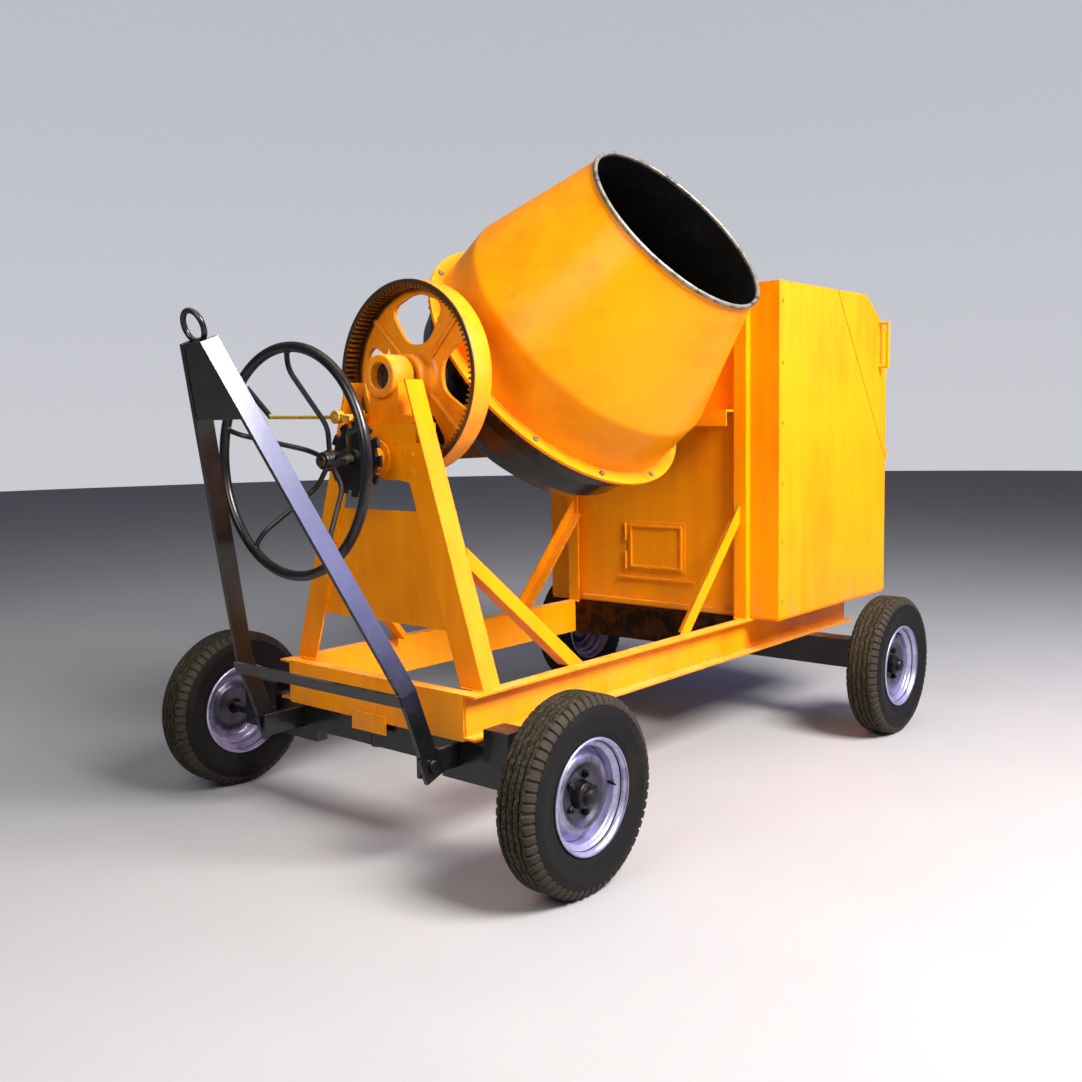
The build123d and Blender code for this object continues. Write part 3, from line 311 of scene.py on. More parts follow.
def crown_enamel(name, flange_under):
    """Yellow flange around the drum's waist over teeth black with grease."""
    f = Finish(name, Coat_Weight=0.1, Coat_Roughness=0.2, Specular_IOR_Level=0.3)
    along = along_drum(f)
    fade = f.noise(5.0, 5.0, 0.65)
    base = f.colour(f.above(fade, 0.40, 0.66), YELLOW, YELLOW_DEEP)
    greasy = (1.0 - f.above(along, flange_under - 0.003, flange_under)) * (0.75 + 0.4 * fade)
    base = f.colour(greasy, base, GREASE)
    return f.finish(base, 0.36 + 0.2 * fade - 0.1 * greasy, f.noise(60.0, 4.0), 0.0008, rounded=0.0015)


def metal(name, base, rough, stain=BLACK, stain_share=0.5, rounded=0.002):
    """Machined or cast steel with oil stains."""
    f = Finish(name, Metallic=0.9)
    patches = f.noise(18.0, 6.0, 0.7)
    stained = f.above(patches, 0.62 - 0.25 * stain_share, 0.85 - 0.25 * stain_share)
    colour = f.colour(stained, base, stain)
    fine = f.noise(220.0, 2.0)
    return f.finish(colour, rough + 0.25 * patches, fine * 0.4 + patches, 0.0005, rounded=rounded)


def wheel_enamel(name):
    """Silver wheel paint, its lilac tint a painted reflection of the sky, greasy round the hub; its
    place is about the wheel's own axle, local Z.
    """
    f = Finish(name, Metallic=0.75)
    radius = (f.x * f.x + f.y * f.y) ** 0.5
    patches = f.noise(14.0, 6.0, 0.7)
    # Both tones are tinted lilac: a painted reflection of the sky on the silver paint.
    base = f.colour(f.above(patches, 0.40, 0.72), (0.46, 0.44, 0.63), (0.27, 0.25, 0.38))
    oil = f.above(0.118 + 0.05 * patches - radius, 0.0, 0.055)
    base = f.colour(oil * 0.88, base, (0.020, 0.018, 0.020))
    grime = f.above(f.noise(30.0, 6.0, 0.75), 0.58, 0.72)
    base = f.colour(grime * 0.55, base, (0.07, 0.055, 0.045))
    return f.finish(base, 0.26 + 0.22 * patches + 0.2 * grime, patches, 0.0006)


def lever_enamel(name, grip_from):
    """Olive-yellow plating on the lever, black rubber on its grip."""
    f = Finish(name, Specular_IOR_Level=0.4)
    patches = f.noise(26.0, 5.0, 0.7)
    base = f.colour(f.above(patches, 0.40, 0.68), (0.62, 0.36, 0.03), (0.30, 0.20, 0.05))
    base = f.colour(f.above(f.y, grip_from - 0.0005, grip_from), base, (0.006, 0.006, 0.007))
    return f.finish(base, 0.34 + 0.2 * patches, patches, 0.0004)


def rubber(name, tread_radius=None):
    """Tyre or belt rubber; a tyre's tread is dusty olive-brown, and its place is about its own axle."""
    f = Finish(name, Specular_IOR_Level=0.2)
    grain = f.noise(90.0, 4.0, 0.7)
    patches = f.noise(7.0, 5.0, 0.7)
    base = f.colour(f.above(patches, 0.4, 0.7), (0.0035, 0.003, 0.003), (0.009, 0.007, 0.006))
    roughness = 0.52 + 0.3 * patches
    if tread_radius:
        radius = (f.x * f.x + f.z * f.z) ** 0.5
        tread = f.above(radius, tread_radius - 0.007, tread_radius - 0.001)
        blocks = f.above(radius, tread_radius - 0.034, tread_radius - 0.030) * (1.0 - tread)
        base = f.colour(blocks * (0.35 + 0.6 * patches), base, (0.050, 0.038, 0.028))
        dusty = tread * (0.12 + 0.75 * f.above(grain, 0.42, 0.68)) + f.above(patches, 0.55, 0.8) * 0.06
        base = f.colour(dusty, base, (0.080, 0.066, 0.036))
        roughness = roughness + 0.2 * tread
    return f.finish(base, roughness, grain * 0.5 + patches, 0.0006)


# ---- mesh tools ----
def place_mesh(name, mesh, finish, body, at=None, smooth=35.0):
    """Makes a piece of a mesh, shades it smooth up to an angle, and lets it ride on a body."""
    if finish:
        mesh.materials.append(finish)
    mesh.polygons.foreach_set("use_smooth", [True] * len(mesh.polygons))
    mesh.set_sharp_from_angle(angle=radians(smooth))
    piece = bpy.data.objects.new(name, mesh)
    bpy.context.scene.collection.objects.link(piece)
    if at is not None:
        piece.matrix_world = at
    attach(piece, body)
    return piece


def to_mesh(name, bm):
    """Ends a mesh in progress, with its faces turned outwards."""
    bmesh.ops.recalc_face_normals(bm, faces=bm.faces)
    mesh = bpy.data.meshes.new(name)
    bm.to_mesh(mesh)
    bm.free()
    return mesh


def on_circle(radius, share):
    """The place on a circle after a share of a whole turn."""
    return radius * cos(2 * pi * share), radius * sin(2 * pi * share)


def circle(radius, count=96):
    """A whole circle of points."""
    return [on_circle(radius, k / count) for k in range(count)]


def loop_faces(bm, rings, closed=True):
    """Quads between neighbouring rings of vertices."""
    count = len(rings[0])
    pairs = list(zip(rings, rings[1:]))
    if closed:
        pairs.append((rings[-1], rings[0]))
    for a, b in pairs:
        for i in range(count):
            j = (i + 1) % count
            bm.faces.new((a[i], a[j], b[j], b[i]))


def lathe(name, outline, turns=128, vary=None):
    """A closed outline of (radius, along) turned about local Z; vary may change each point by angle."""
    bm = bmesh.new()
    rings = []
    for index, (radius, along) in enumerate(outline):
        ring = []
        for i in range(turns):
            angle = 2 * pi * i / turns
            r, a = vary(index, radius, along, angle) if vary else (radius, along)
            ring.append(bm.verts.new((r * cos(angle), r * sin(angle), a)))
        rings.append(ring)
    loop_faces(bm, rings)
    return to_mesh(name, bm)


def add_tube(bm, points, radius, sides=14, flat=1.0):
    """A round bar through points, with its ends closed."""
    points = [Vector(p) for p in points]
    side = None
    rings = []
    for i, point in enumerate(points):
        way = (points[min(i + 1, len(points) - 1)] - points[max(i - 1, 0)]).normalized()
        if side is None:
            side = way.orthogonal().normalized()
        side = (side - way * side.dot(way)).normalized()
        up = way.cross(side)
        size = radius(i) if callable(radius) else radius
        rings.append([bm.verts.new(point + size * (side * cos(2 * pi * k / sides)
                                                   + up * flat * sin(2 * pi * k / sides)))
                      for k in range(sides)])
    loop_faces(bm, rings, closed=False)
    bm.faces.new(rings[0])
    bm.faces.new(list(reversed(rings[-1])))


def bend(start, corner, end, steps):
    """Points on the curve that leaves start towards corner and turns to reach end."""
    return [start * (1 - t) ** 2 + corner * 2 * t * (1 - t) + end * t * t
            for t in (k / steps for k in range(steps + 1))]


def rounded(corners, radius=0.004, steps=4):
    """A closed outline with each corner cut to a small arc."""
    points = []
    count = len(corners)
    for i, corner in enumerate(corners):
        here = Vector(corner)
        before = Vector(corners[i - 1]) - here
        after = Vector(corners[(i + 1) % count]) - here
        reach = min(radius, before.length * 0.45, after.length * 0.45)
        start, end = here + before.normalized() * reach, here + after.normalized() * reach
        points += bend(start, here, end, steps)
    return [tuple(p) for p in points]


def about_axis(node, origin, axis):
    """(least radius, greatest radius, lowest, highest) of a node about an axis."""
    spots = []
    for vertex in nodes[node].data.vertices:
        away = vertex.co - origin
        along = away.dot(axis)
        spots.append(((away - axis * along).length, along))
    radii, places = [s[0] for s in spots], [s[1] for s in spots]
    return min(radii), max(radii), min(places), max(places)


# ---- drum sizes, along its own axis from the tipping axis ----
_, belt_radius, drum_base, mouth_along = about_axis("drum_shell", tilt_pivot, drum_axis)
ring_in, ring_out, _, ring_top = about_axis("mouth_ring", tilt_pivot, drum_axis)
*_, flange_top = about_axis("crown_gear", tilt_pivot, drum_axis)
mouth_radius = (ring_in + ring_out) / 2
fold_along = drum_base + 0.220
shell_wall = 0.006
cone_slope = (belt_radius - mouth_radius) / (mouth_along - fold_along)


# ---- finishes ----
paint = yellow_enamel("yellow_enamel")
cabinet_paint = yellow_enamel("cabinet_enamel", dust_top=0.80, chips=0.2)
black = black_enamel("black_enamel")
handwheel_black = black_enamel("handwheel_enamel", dust=0.15, wear=0.35)
drum_paint = drum_enamel("drum_enamel")
lining = drum_lining("drum_lining")
gear_pitch = 0.318
gear_root, gear_tip = gear_pitch + 0.0075, gear_pitch - 0.006
gear_paint = gear_enamel("gear_enamel", gear_tip, gear_root)
flange_thick = 0.012
crown_paint = crown_enamel("crown_enamel", flange_top - flange_thick)
pan_black = black_enamel("drum_pan_black", dust=0.8, wear=0.2)
bare = metal("bare_steel", (0.50, 0.49, 0.48), 0.28)
greasy = metal("greasy_steel", (0.16, 0.13, 0.10), 0.30, GREASE, 1.0)
lip_metal = metal("mouth_lip", (0.36, 0.33, 0.28), 0.42, (0.03, 0.025, 0.02), 0.7)
engine_green = metal("engine_casting", (0.06, 0.10, 0.085), 0.45, GREASE, 0.8)
silver = wheel_enamel("wheel_silver")
grip_from = 0.4685
lever_paint = lever_enamel("lever_plating", grip_from)
# The tow bar's painted sky reflection fades in between these heights.
sheen_start, sheen_full = 0.55, 1.10
tow_paint = sky_sheen_enamel("tow_bar_enamel", sheen_start, sheen_full)
small_paint = yellow_enamel("small_enamel", chips=0.2, rounding=0.0)
# Painted shade: the rear cross-members are drawn near-black brown with grease patches, standing in for
# the deep shade under the cabinet.
painted_shade_frame = metal("frame_painted_shade", (0.060, 0.020, 0.004), 0.45, GREASE, 1.0)
hub_black = metal("hub_grease", (0.035, 0.033, 0.034), 0.34, GREASE, 0.9)
belt = rubber("belt_rubber")

finish_of = {
    "tow_leg_right": tow_paint, "tow_leg_left": tow_paint, "tilting_gear": gear_paint,
    "drum_pan": pan_black, "mouth_ring": lip_metal, "crown_gear": crown_paint,
    "flange_bolts": lip_metal, "mixing_blades": greasy, "kingpin": greasy, "yoke_trunnions": greasy,
    "drum_spindle": greasy, "drive_shaft": bare, "bevel_pinion": greasy, "drum_pulley": engine_green,
    "drive_belts": belt, "engine_block": engine_green, "engine_flywheel": engine_green,
    "handwheel_shaft": greasy, "handwheel_rim": handwheel_black, "handwheel_spokes": handwheel_black,
    # rear_cross_members take the near-black finish that paints the shade under the cabinet.
    "rear_cross_members": painted_shade_frame, "locking_disc": black, "lock_lever": lever_paint,
    "bearing_bolts": small_paint, "cabinet_fittings": small_paint,
}
for name in ("front_axle_beam", "tow_brackets", "tow_cross_pieces", "tow_ring",
             "yoke_frame", "rear_axle_beam"):
    finish_of[name] = black
for name in ("cabinet_front_panel", "cabinet_side_right", "cabinet_side_left", "cabinet_roof",
             "cabinet_rear_panel", "inspection_door", "engine_hood", "hood_handle"):
    finish_of[name] = cabinet_paint

for name, node in nodes.items():
    node.data.materials.clear()
    node.data.materials.append(finish_of.get(name, paint))


# ---- wheels ----
tyre_low, tyre_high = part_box("front_right_tyre")
tyre_radius = (tyre_high.z - tyre_low.z) / 2
tyre_half = (tyre_high.y - tyre_low.y) / 2
rim_radius = 0.176
lugs = 60
tyre_rubber = rubber("tyre_rubber", tyre_radius)


def tyre_mesh():
    """Ribbed tread with zigzag grooves, blocks on each shoulder, and a ringed sidewall."""
    r, h = tyre_radius, tyre_half
    half_side = [(r, 0.0, "rib"), (r, 0.0080, "edge"), (r - 0.008, 0.0086, "edge"),
                 (r - 0.008, 0.0144, "edge"), (r, 0.0150, "edge"), (r, 0.0300, "edge"),
                 (r - 0.008, 0.0306, "edge"), (r - 0.008, 0.0364, "edge"), (r, 0.0370, "edge"),
                 (r - 0.0005, 0.046, "rib"), (r - 0.0010, 0.0472, "lug"), (r - 0.006, 0.056, "lug"),
                 (r - 0.018, 0.0655, "lug"), (r - 0.030, 0.0700, "lug"), (r - 0.0335, 0.0690, "wall"),
                 (r - 0.046, 0.0725, "wall"), (r - 0.060, h, "wall"), (r - 0.064, h, "wall"),
                 (r - 0.068, h - 0.0015, "wall"), (r - 0.090, h - 0.0035, "wall"),
                 (r - 0.104, h - 0.0075, "wall"), (r - 0.107, h - 0.0070, "wall"),
                 (r - 0.110, h - 0.0075, "wall"), (r - 0.124, h - 0.0150, "wall"),
                 (rim_radius - 0.003, h - 0.0185, "wall"), (rim_radius - 0.010, h - 0.030, "wall")]
    outline = [(radius, -along, kind) for radius, along, kind in reversed(half_side)]
    outline += half_side[1:]
    zigzag = 0.0022

    def vary(index, radius, along, angle):
        kind = outline[index][2]
        phase = (angle / (2 * pi) * lugs) % 1.0
        if kind == "edge":
            odd = int(angle / (2 * pi) * lugs + 1e-6) % 2
            along += zigzag * (1 - abs(4 * ((phase / 2 + odd / 2) % 1) - 2))
        if kind == "lug" and phase >= 0.70:
            radius -= 0.0075
            along *= 0.965
        return radius, along

    points = [(radius, along) for radius, along, _ in outline]
    return lathe("tyre", points, lugs * 8, vary)


def wheel_rim_mesh():
    """Rolled rim: turned lips, bead seats, a dropped well."""
    h = tyre_half - 0.007
    lip = [(rim_radius, h), (rim_radius + 0.004, h - 0.002), (rim_radius + 0.005, h - 0.006),
           (rim_radius + 0.001, h - 0.011), (rim_radius - 0.003, h - 0.014),
           (rim_radius - 0.006, h - 0.026), (rim_radius - 0.010, h - 0.031),
           (rim_radius - 0.023, h - 0.038), (rim_radius - 0.024, 0.0)]
    outer = lip + [(r, -y) for r, y in reversed(lip[:-1])]
    inner = [(r - 0.004, y) for r, y in reversed(outer)]
    inner[0], inner[-1] = (rim_radius - 0.003, -h), (rim_radius - 0.003, h)
    return lathe("rim", rounded(outer + inner, 0.003, 3), 128)


def wheel_disc_mesh():
    """Pressed disc: a dished ring, a raised shoulder and a flat hub seat."""
    well = rim_radius - 0.028
    face = [(0.030, 0.013), (0.074, 0.013), (0.082, 0.016), (0.098, 0.028), (0.108, 0.030),
            (0.122, 0.024), (0.136, 0.006), (well, -0.001)]
    back = [(r, y - 0.006) for r, y in reversed(face)]
    return lathe("disc", rounded(face + back, 0.006, 4), 96)


def hub_mesh():
    """Bearing barrel with a domed grease cap."""
    outline = [(0.0005, 0.070), (0.012, 0.069), (0.022, 0.064), (0.027, 0.055), (0.028, 0.046),
               (0.034, 0.044), (0.040, 0.040), (0.043, 0.024), (0.046, 0.014), (0.0005, 0.014)]
    return lathe("hub", rounded(outline, 0.002, 3), 48)


def add_prism(bm, place, sides, ends):
    """A closed turned body with few sides: (radius, along) for each of its rings, from a frame."""
    rings = [[bm.verts.new(place @ Vector((*on_circle(r, k / sides), z))) for k in range(sides)]
             for r, z in ends]
    loop_faces(bm, rings, closed=False)
    bm.faces.new(rings[0])
    bm.faces.new(rings[-1])


def nut_ring_mesh(count, ring, across, tall, base):
    """Hexagon nuts with a stud tip each, on a circle about local Z."""
    edge, stud, stud_top = 0.0015, across * 0.62, tall * 1.55
    bm = bmesh.new()
    for i in range(count):
        spin = Matrix.Rotation(2 * pi * i / count, 4, "Z") @ Matrix.Translation((ring, 0, base))
        add_prism(bm, spin, 6, [(across, 0.0), (across, tall - edge), (across - edge, tall)])
        add_prism(bm, spin, 14, [(stud, tall), (stud, stud_top - edge), (stud - edge, stud_top)])
    return to_mesh("nuts", bm)


tread, rim, disc, hub = tyre_mesh(), wheel_rim_mesh(), wheel_disc_mesh(), hub_mesh()
nuts = nut_ring_mesh(5, 0.062, 0.0125, 0.012, 0.013)
valve_bm = bmesh.new()
add_tube(valve_bm, [(0.146, 0, 0.010), (0.142, 0, 0.032), (0.136, 0, 0.046)],
         lambda i: (0.005, 0.004, 0.003)[i], 10)
valve = to_mesh("valve", valve_bm)
for number, wheel in enumerate(WHEELS):
    low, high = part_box(f"{wheel}_tyre")
    centre = (low + high) / 2
    outward = Matrix.Rotation(radians(-90 if centre.y > 0 else 90), 4, "X")
    parked = Matrix.Rotation(radians(37 * number), 4, "Z")
    at = Matrix.Translation(centre) @ outward @ parked
    body = f"{wheel}_wheel"
    about_y = Matrix.Translation(centre) @ Matrix.Rotation(radians(90 * number), 4, "Y")
    tyre = tread.copy()
    tyre.transform(Matrix.Rotation(radians(-90), 4, "X"))
    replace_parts(place_mesh(f"{wheel}_tyre_tread", tyre, tyre_rubber, body, about_y, 30),
                f"{wheel}_tyre")
    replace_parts(place_mesh(f"{wheel}_rim", rim.copy(), silver, body, at),
                f"{wheel}_wheel")
    place_mesh(f"{wheel}_disc", disc.copy(), silver, body, at)
    for part, mesh in (("hub", hub), ("nuts", nuts), ("valve", valve)):
        place_mesh(f"{wheel}_{part}", mesh.copy(), hub_black, body, at)


# ---- drum ----
def drum_mesh():
    """Rolled belt and cone with a soft fold between them, and shallow dents."""
    outside = [(belt_radius, drum_base), (belt_radius, drum_base + 0.06),
               (belt_radius, fold_along - 0.05)]
    for k in range(7):
        t = k / 6
        outside.append((belt_radius - cone_slope * 0.016 * t * t, fold_along - 0.016 + 0.032 * t))
    for k in range(1, 9):
        t = k / 8
        along = fold_along + 0.020 + (mouth_along - fold_along - 0.020) * t
        outside.append((belt_radius - cone_slope * (along - fold_along), along))
    inside = [(r - shell_wall, a) for r, a in reversed(outside)]

    def vary(index, radius, along, angle):
        ease = (max(0.0, min(1.0, (along - drum_base) / 0.12))
                * max(0.0, min(1.0, (mouth_along - along) / 0.1)))
        dent = 0.0016 * sin(5 * angle + 9 * along) + 0.0010 * sin(11 * angle - 14 * along + 1.3)
        return radius - (0.0022 + dent) * ease, along

    turns = 192
    mesh = lathe("drum", outside + inside, turns, vary)
    mesh.materials.append(drum_paint)
    mesh.materials.append(lining)
    first_inside = len(outside) - 1
    for number, face in enumerate(mesh.polygons):
        face.material_index = 1 if number // turns >= first_inside else 0
    return mesh


drum_plate = drum_mesh()
drum_plate.transform(drum_frame)
drum_skin = place_mesh("drum_skin", drum_plate, None, "drum")
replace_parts(drum_skin, "drum_shell")


# ---- welds and bolts ----
def add_bead(bm, start, end, radius=0.0045):
    """A rippled weld bead from start to end."""
    start, end = Vector(start), Vector(end)
    pitch = 0.0035
    count = max(4, int((end - start).length / pitch))
    points = [start.lerp(end, i / count) for i in range(count + 1)]

    def swell(i):
        if i in (0, count):
            return radius * 0.5
        return radius * (1.0 + 0.16 * cos(pi * i) + 0.10 * sin(1.7 * i))

    add_tube(bm, points, swell, 8)


def add_ring_bead(bm, centre, axis, ring, radius=0.004, steps=200):
    """A weld bead all the way round an axis."""
    axis = Vector(axis).normalized()
    side = axis.orthogonal().normalized()
    other = axis.cross(side)
    rings = []
    for i in range(steps):
        angle = 2 * pi * i / steps
        out = side * cos(angle) + other * sin(angle)
        size = radius * (1.0 + 0.15 * cos(pi * i) + 0.08 * sin(2.3 * i))
        rings.append([bm.verts.new(Vector(centre) + out * (ring + size * cos(2 * pi * k / 8))
                                   + axis * size * sin(2 * pi * k / 8)) for k in range(8)])
    loop_faces(bm, rings)


def bead_group(name, body, finish, lines=(), rings=()):
    """Straight and round weld beads, as one piece."""
    bm = bmesh.new()
    for start, end in lines:
        add_bead(bm, start, end)
    for centre, axis, ring, radius in rings:
        add_ring_bead(bm, centre, axis, ring, radius)
    return place_mesh(name, to_mesh(name, bm), finish, body)


def add_bolt(bm, place, out, across, tall):
    """A hexagon head on a washer, standing out from a face."""
    turn = Matrix.Translation(Vector(place)) @ Vector(out).to_track_quat("Z", "Y").to_matrix().to_4x4()
    seat, edge = 0.002, 0.0015
    head = [(across, seat), (across, seat + tall - edge), (across * 0.86, seat + tall)]
    washer = [(across * 1.45, 0.0), (across * 1.45, 0.0018), (across * 1.40, 0.0025)]
    add_prism(bm, turn, 6, head)
    add_prism(bm, turn, 20, washer)


def bolt_group(name, body, finish, bolts, across, tall):
    """Bolt heads, as one piece."""
    bm = bmesh.new()
    for place, out in bolts:
        add_bolt(bm, place, out, across, tall)
    return place_mesh(name, to_mesh(name, bm), finish, body, smooth=30.0)


rail_low, rail_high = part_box("side_rail_right")
leg_low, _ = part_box("pedestal_leg_right")
panel_low, panel_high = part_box("pedestal_panels")
_, post_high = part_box("rear_stand")
rail_top = rail_high.z
web_y = rail_high.y
leg_face, leg_deep, leg_wall = 0.105, 0.083, 0.008
post_out, post_wide, post_deep = 0.492, 0.038, 0.060

lines = []
for side in (1, -1):
    leg_y, post_y, post_x = leg_low.y * side, -post_out * side, post_high.x - post_wide
    foot = [(leg_low.x, leg_y, rail_top), (leg_low.x, (leg_low.y + leg_face) * side, rail_top)]
    flank = [(leg_low.x, leg_y, rail_top), (leg_low.x + leg_deep, leg_y, rail_top)]
    corner = [(leg_low.x + leg_deep, leg_y, rail_top),
              (leg_low.x + leg_deep, (leg_low.y + leg_wall) * side, rail_top)]
    inner = [(rail_low.x + 0.002, web_y * side, rail_top - 0.002),
             (rail_low.x + 0.050, web_y * side, rail_top - 0.002)]
    post = [(post_x, post_y, rail_top), (post_high.x, post_y, rail_top)]
    post_face = [(post_x, post_y, rail_top), (post_x, post_y + post_deep * side, rail_top)]
    lines += [foot, flank, corner, inner, post, post_face]
bead_group("frame_welds", "chassis", small_paint, lines)

bolts = [((panel_low.x, y, panel_high.z - drop), (-1, 0, 0))
         for y in (-0.178, 0.178) for drop in (0.038, 0.098)]
bolt_group("pedestal_bolts", "chassis", small_paint, bolts, 0.010, 0.008)

rings = [(drum_frame @ Vector((0, 0, drum_base)), drum_axis, belt_radius - 0.001, 0.005),
         (drum_frame @ Vector((0, 0, mouth_along)), drum_axis, mouth_radius + 0.001, 0.005)]
bead_group("drum_welds", "drum", drum_paint, rings=rings)


# ---- mouth ring ----
def mouth_ring_mesh():
    """Rolled bar around the mouth, hammered out of true by years of shovels."""
    middle = (mouth_along + ring_top) / 2
    half = (ring_top - mouth_along) / 2
    corners = [(mouth_radius - half, middle - half), (mouth_radius + half, middle - half),
               (mouth_radius + half, middle + half), (mouth_radius - half, middle + half)]

    def vary(index, radius, along, angle):
        batter = 0.0006 * sin(17 * angle) + 0.0005 * sin(29 * angle + 0.8)
        return radius - abs(batter), along - abs(batter) * 0.8

    return lathe("mouth", rounded(corners, half * 0.85, 5), 192, vary)


mouth = place_mesh("mouth_bar", mouth_ring_mesh(), lip_metal, "drum", drum_frame, 50)
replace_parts(mouth, "mouth_ring")


# ---- handwheel ----
wheel_low, wheel_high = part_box("handwheel_rim")
wheel_x, wheel_tube = (wheel_low.x + wheel_high.x) / 2, (wheel_high.x - wheel_low.x) / 2


def on_handwheel(x):
    """A frame at x on the handwheel's axis, whose local Z points along +X."""
    place = (x, handwheel_centre.y, handwheel_centre.z)
    return Matrix.Translation(place) @ Matrix.Rotation(radians(90), 4, "Y")


def handwheel_rim_mesh():
    """The bent tube, in a full circle."""
    middle = (wheel_high.z - wheel_low.z) / 2 - wheel_tube
    outline = [(middle + y, x) for y, x in circle(wheel_tube, 20)]
    mesh = lathe("handwheel", outline, 144)
    mesh.transform(on_handwheel(wheel_x))
    return mesh


handwheel_bar = place_mesh("handwheel_bar", handwheel_rim_mesh(), handwheel_black, "handwheel")
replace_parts(handwheel_bar, "handwheel_rim")


def handwheel_spider():
    """Five bars that leave the rim square to it, cross back to the hub's plane and end in the hub."""
    rim_inside = (wheel_high.z - wheel_low.z) / 2 - 2 * wheel_tube
    hub_half = 0.034
    hub_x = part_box("handwheel_spokes")[1].x - hub_half
    turned = sum(cmath.exp(5j * atan2(v.co.z - handwheel_centre.z, v.co.y - handwheel_centre.y))
                 for v in nodes["handwheel_spokes"].data.vertices
                 if (v.co - handwheel_centre).yz.length > 0.30)
    first = cmath.phase(turned) / 5
    side = [(wheel_x, rim_inside + 0.006), (wheel_x + 0.002, rim_inside - 0.052),
            (hub_x - 0.004, 0.112), (hub_x, 0.020)]
    bend_reach, bar_radius = 0.034, 0.0088
    path = [side[0]]
    for before, corner, after in zip(side, side[1:], side[2:]):
        here = Vector(corner)
        start = here + (Vector(before) - here).normalized() * bend_reach
        end = here + (Vector(after) - here).normalized() * bend_reach
        path += bend(start, here, end, 8)
    path.append(side[-1])
    centre = Vector((0, handwheel_centre.y, handwheel_centre.z))
    bm = bmesh.new()
    for i in range(5):
        angle = first + 2 * pi * i / 5
        out = Vector((0, cos(angle), sin(angle)))
        add_tube(bm, [Vector((x, 0, 0)) + centre + out * r for x, r in path], bar_radius, 14)
        weld = Vector((wheel_x + 0.001, 0, 0)) + centre + out * (rim_inside + 0.001)
        add_ring_bead(bm, weld, out, bar_radius, 0.0035, 30)
    bars = place_mesh("handwheel_bars", to_mesh("handwheel_bars", bm), handwheel_black, "handwheel")
    outline = [(0.0, -0.041), (0.011, -0.041), (0.013, -0.039), (0.013, -0.034), (0.028, -0.034),
               (0.030, -0.031), (0.030, -0.014), (0.036, -0.011), (0.036, 0.011), (0.030, 0.014),
               (0.030, 0.032), (0.0, 0.034)]
    place_mesh("handwheel_hub", lathe("handwheel_hub", rounded(outline, 0.002, 3), 48), handwheel_black,
               "handwheel", on_handwheel(hub_x))
    return bars


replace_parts(handwheel_spider(), "handwheel_spokes")


# ---- tilting gear and its bearings ----
def plate_mesh(name, outlines, thick, bevel=0.0):
    """A plate of closed outlines in local XY, holes included, thick along local Z and centred on it."""
    sheet = bpy.data.curves.new(name, "CURVE")
    sheet.dimensions = "2D"
    sheet.fill_mode = "BOTH"
    sheet.extrude = thick / 2 - bevel
    sheet.bevel_depth = bevel
    sheet.bevel_resolution = 2
    sheet.offset = -bevel
    for outline in outlines:
        spline = sheet.splines.new("POLY")
        spline.points.add(len(outline) - 1)
        for point, (x, y) in zip(spline.points, outline):
            point.co = (x, y, 0, 1)
        spline.use_cyclic_u = True
    holder = bpy.data.objects.new(name, sheet)
    bpy.context.scene.collection.objects.link(holder)
    bpy.context.view_layer.update()
    made = holder.evaluated_get(bpy.context.evaluated_depsgraph_get())
    mesh = bpy.data.meshes.new_from_object(made)
    bpy.data.objects.remove(holder)
    return mesh


def gear_ring(teeth, root, tip, outer):
    """Outlines of an internal gear ring: tapered teeth that point inwards, and a round outside."""
    inner = []
    for i in range(teeth):
        middle = 2 * pi * i / teeth
        pitch = 2 * pi / teeth
        for share, radius in ((-0.34, root), (-0.30, root - 0.0006), (-0.145, tip + 0.0006),
                              (-0.12, tip), (0.12, tip), (0.145, tip + 0.0006), (0.30, root - 0.0006),
                              (0.34, root)):
            angle = middle + share * pitch
            inner.append((radius * cos(angle), radius * sin(angle)))
    return [circle(outer, teeth * 3), inner]


def window(inner, outer, middle, half_inner, half_outer):
    """A web window between two radii, with round corners."""
    spots = [(inner, -half_inner), (outer, -half_outer), (outer * 1.06, 0.0), (outer, half_outer),
             (inner, half_inner)]
    corners = [Vector((r * cos(middle + a), r * sin(middle + a), 0)) for r, a in spots]
    return rounded(corners, 0.058, 8)


gear_low, gear_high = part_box("tilting_gear")
gear_teeth = 106
gear_outer = (gear_high.z - gear_low.z) / 2
web_thick = 0.018
along_x = Matrix.Rotation(radians(90), 4, "Z") @ Matrix.Rotation(radians(90), 4, "X")
gear_turn = Matrix.Rotation(drum_lean, 4, "X")


def on_tilt_axis(x):
    """A frame whose local Z points along +X at x on the tipping axis, and whose local X is +Y."""
    return Matrix.Translation((x, tilt_pivot.y, tilt_pivot.z)) @ gear_turn @ along_x


tooth_from = gear_low.x + 0.002
tooth_to = gear_low.x + 0.056
first_tooth = Matrix.Rotation(radians(-90) - drum_lean + pi / gear_teeth, 4, "Z")
toothed = plate_mesh("gear_teeth", gear_ring(gear_teeth, gear_root + 0.001, gear_tip,
                                             gear_root + 0.004), tooth_to - tooth_from)
place_mesh("gear_teeth", toothed, gear_paint, "yoke",
           on_tilt_axis((tooth_from + tooth_to) / 2) @ first_tooth, 30)
gear_deep = gear_high.x - gear_low.x
band = [(gear_root, 0.0), (gear_outer, 0.0), (gear_outer, gear_deep), (gear_root, gear_deep)]
place_mesh("gear_rim", lathe("gear_rim", rounded(band, 0.004, 3), gear_teeth * 2), gear_paint, "yoke",
           on_tilt_axis(gear_low.x), 40)
windows = [window(0.128, 0.286, radians(90 * i + 38), radians(24), radians(29)) for i in range(4)]
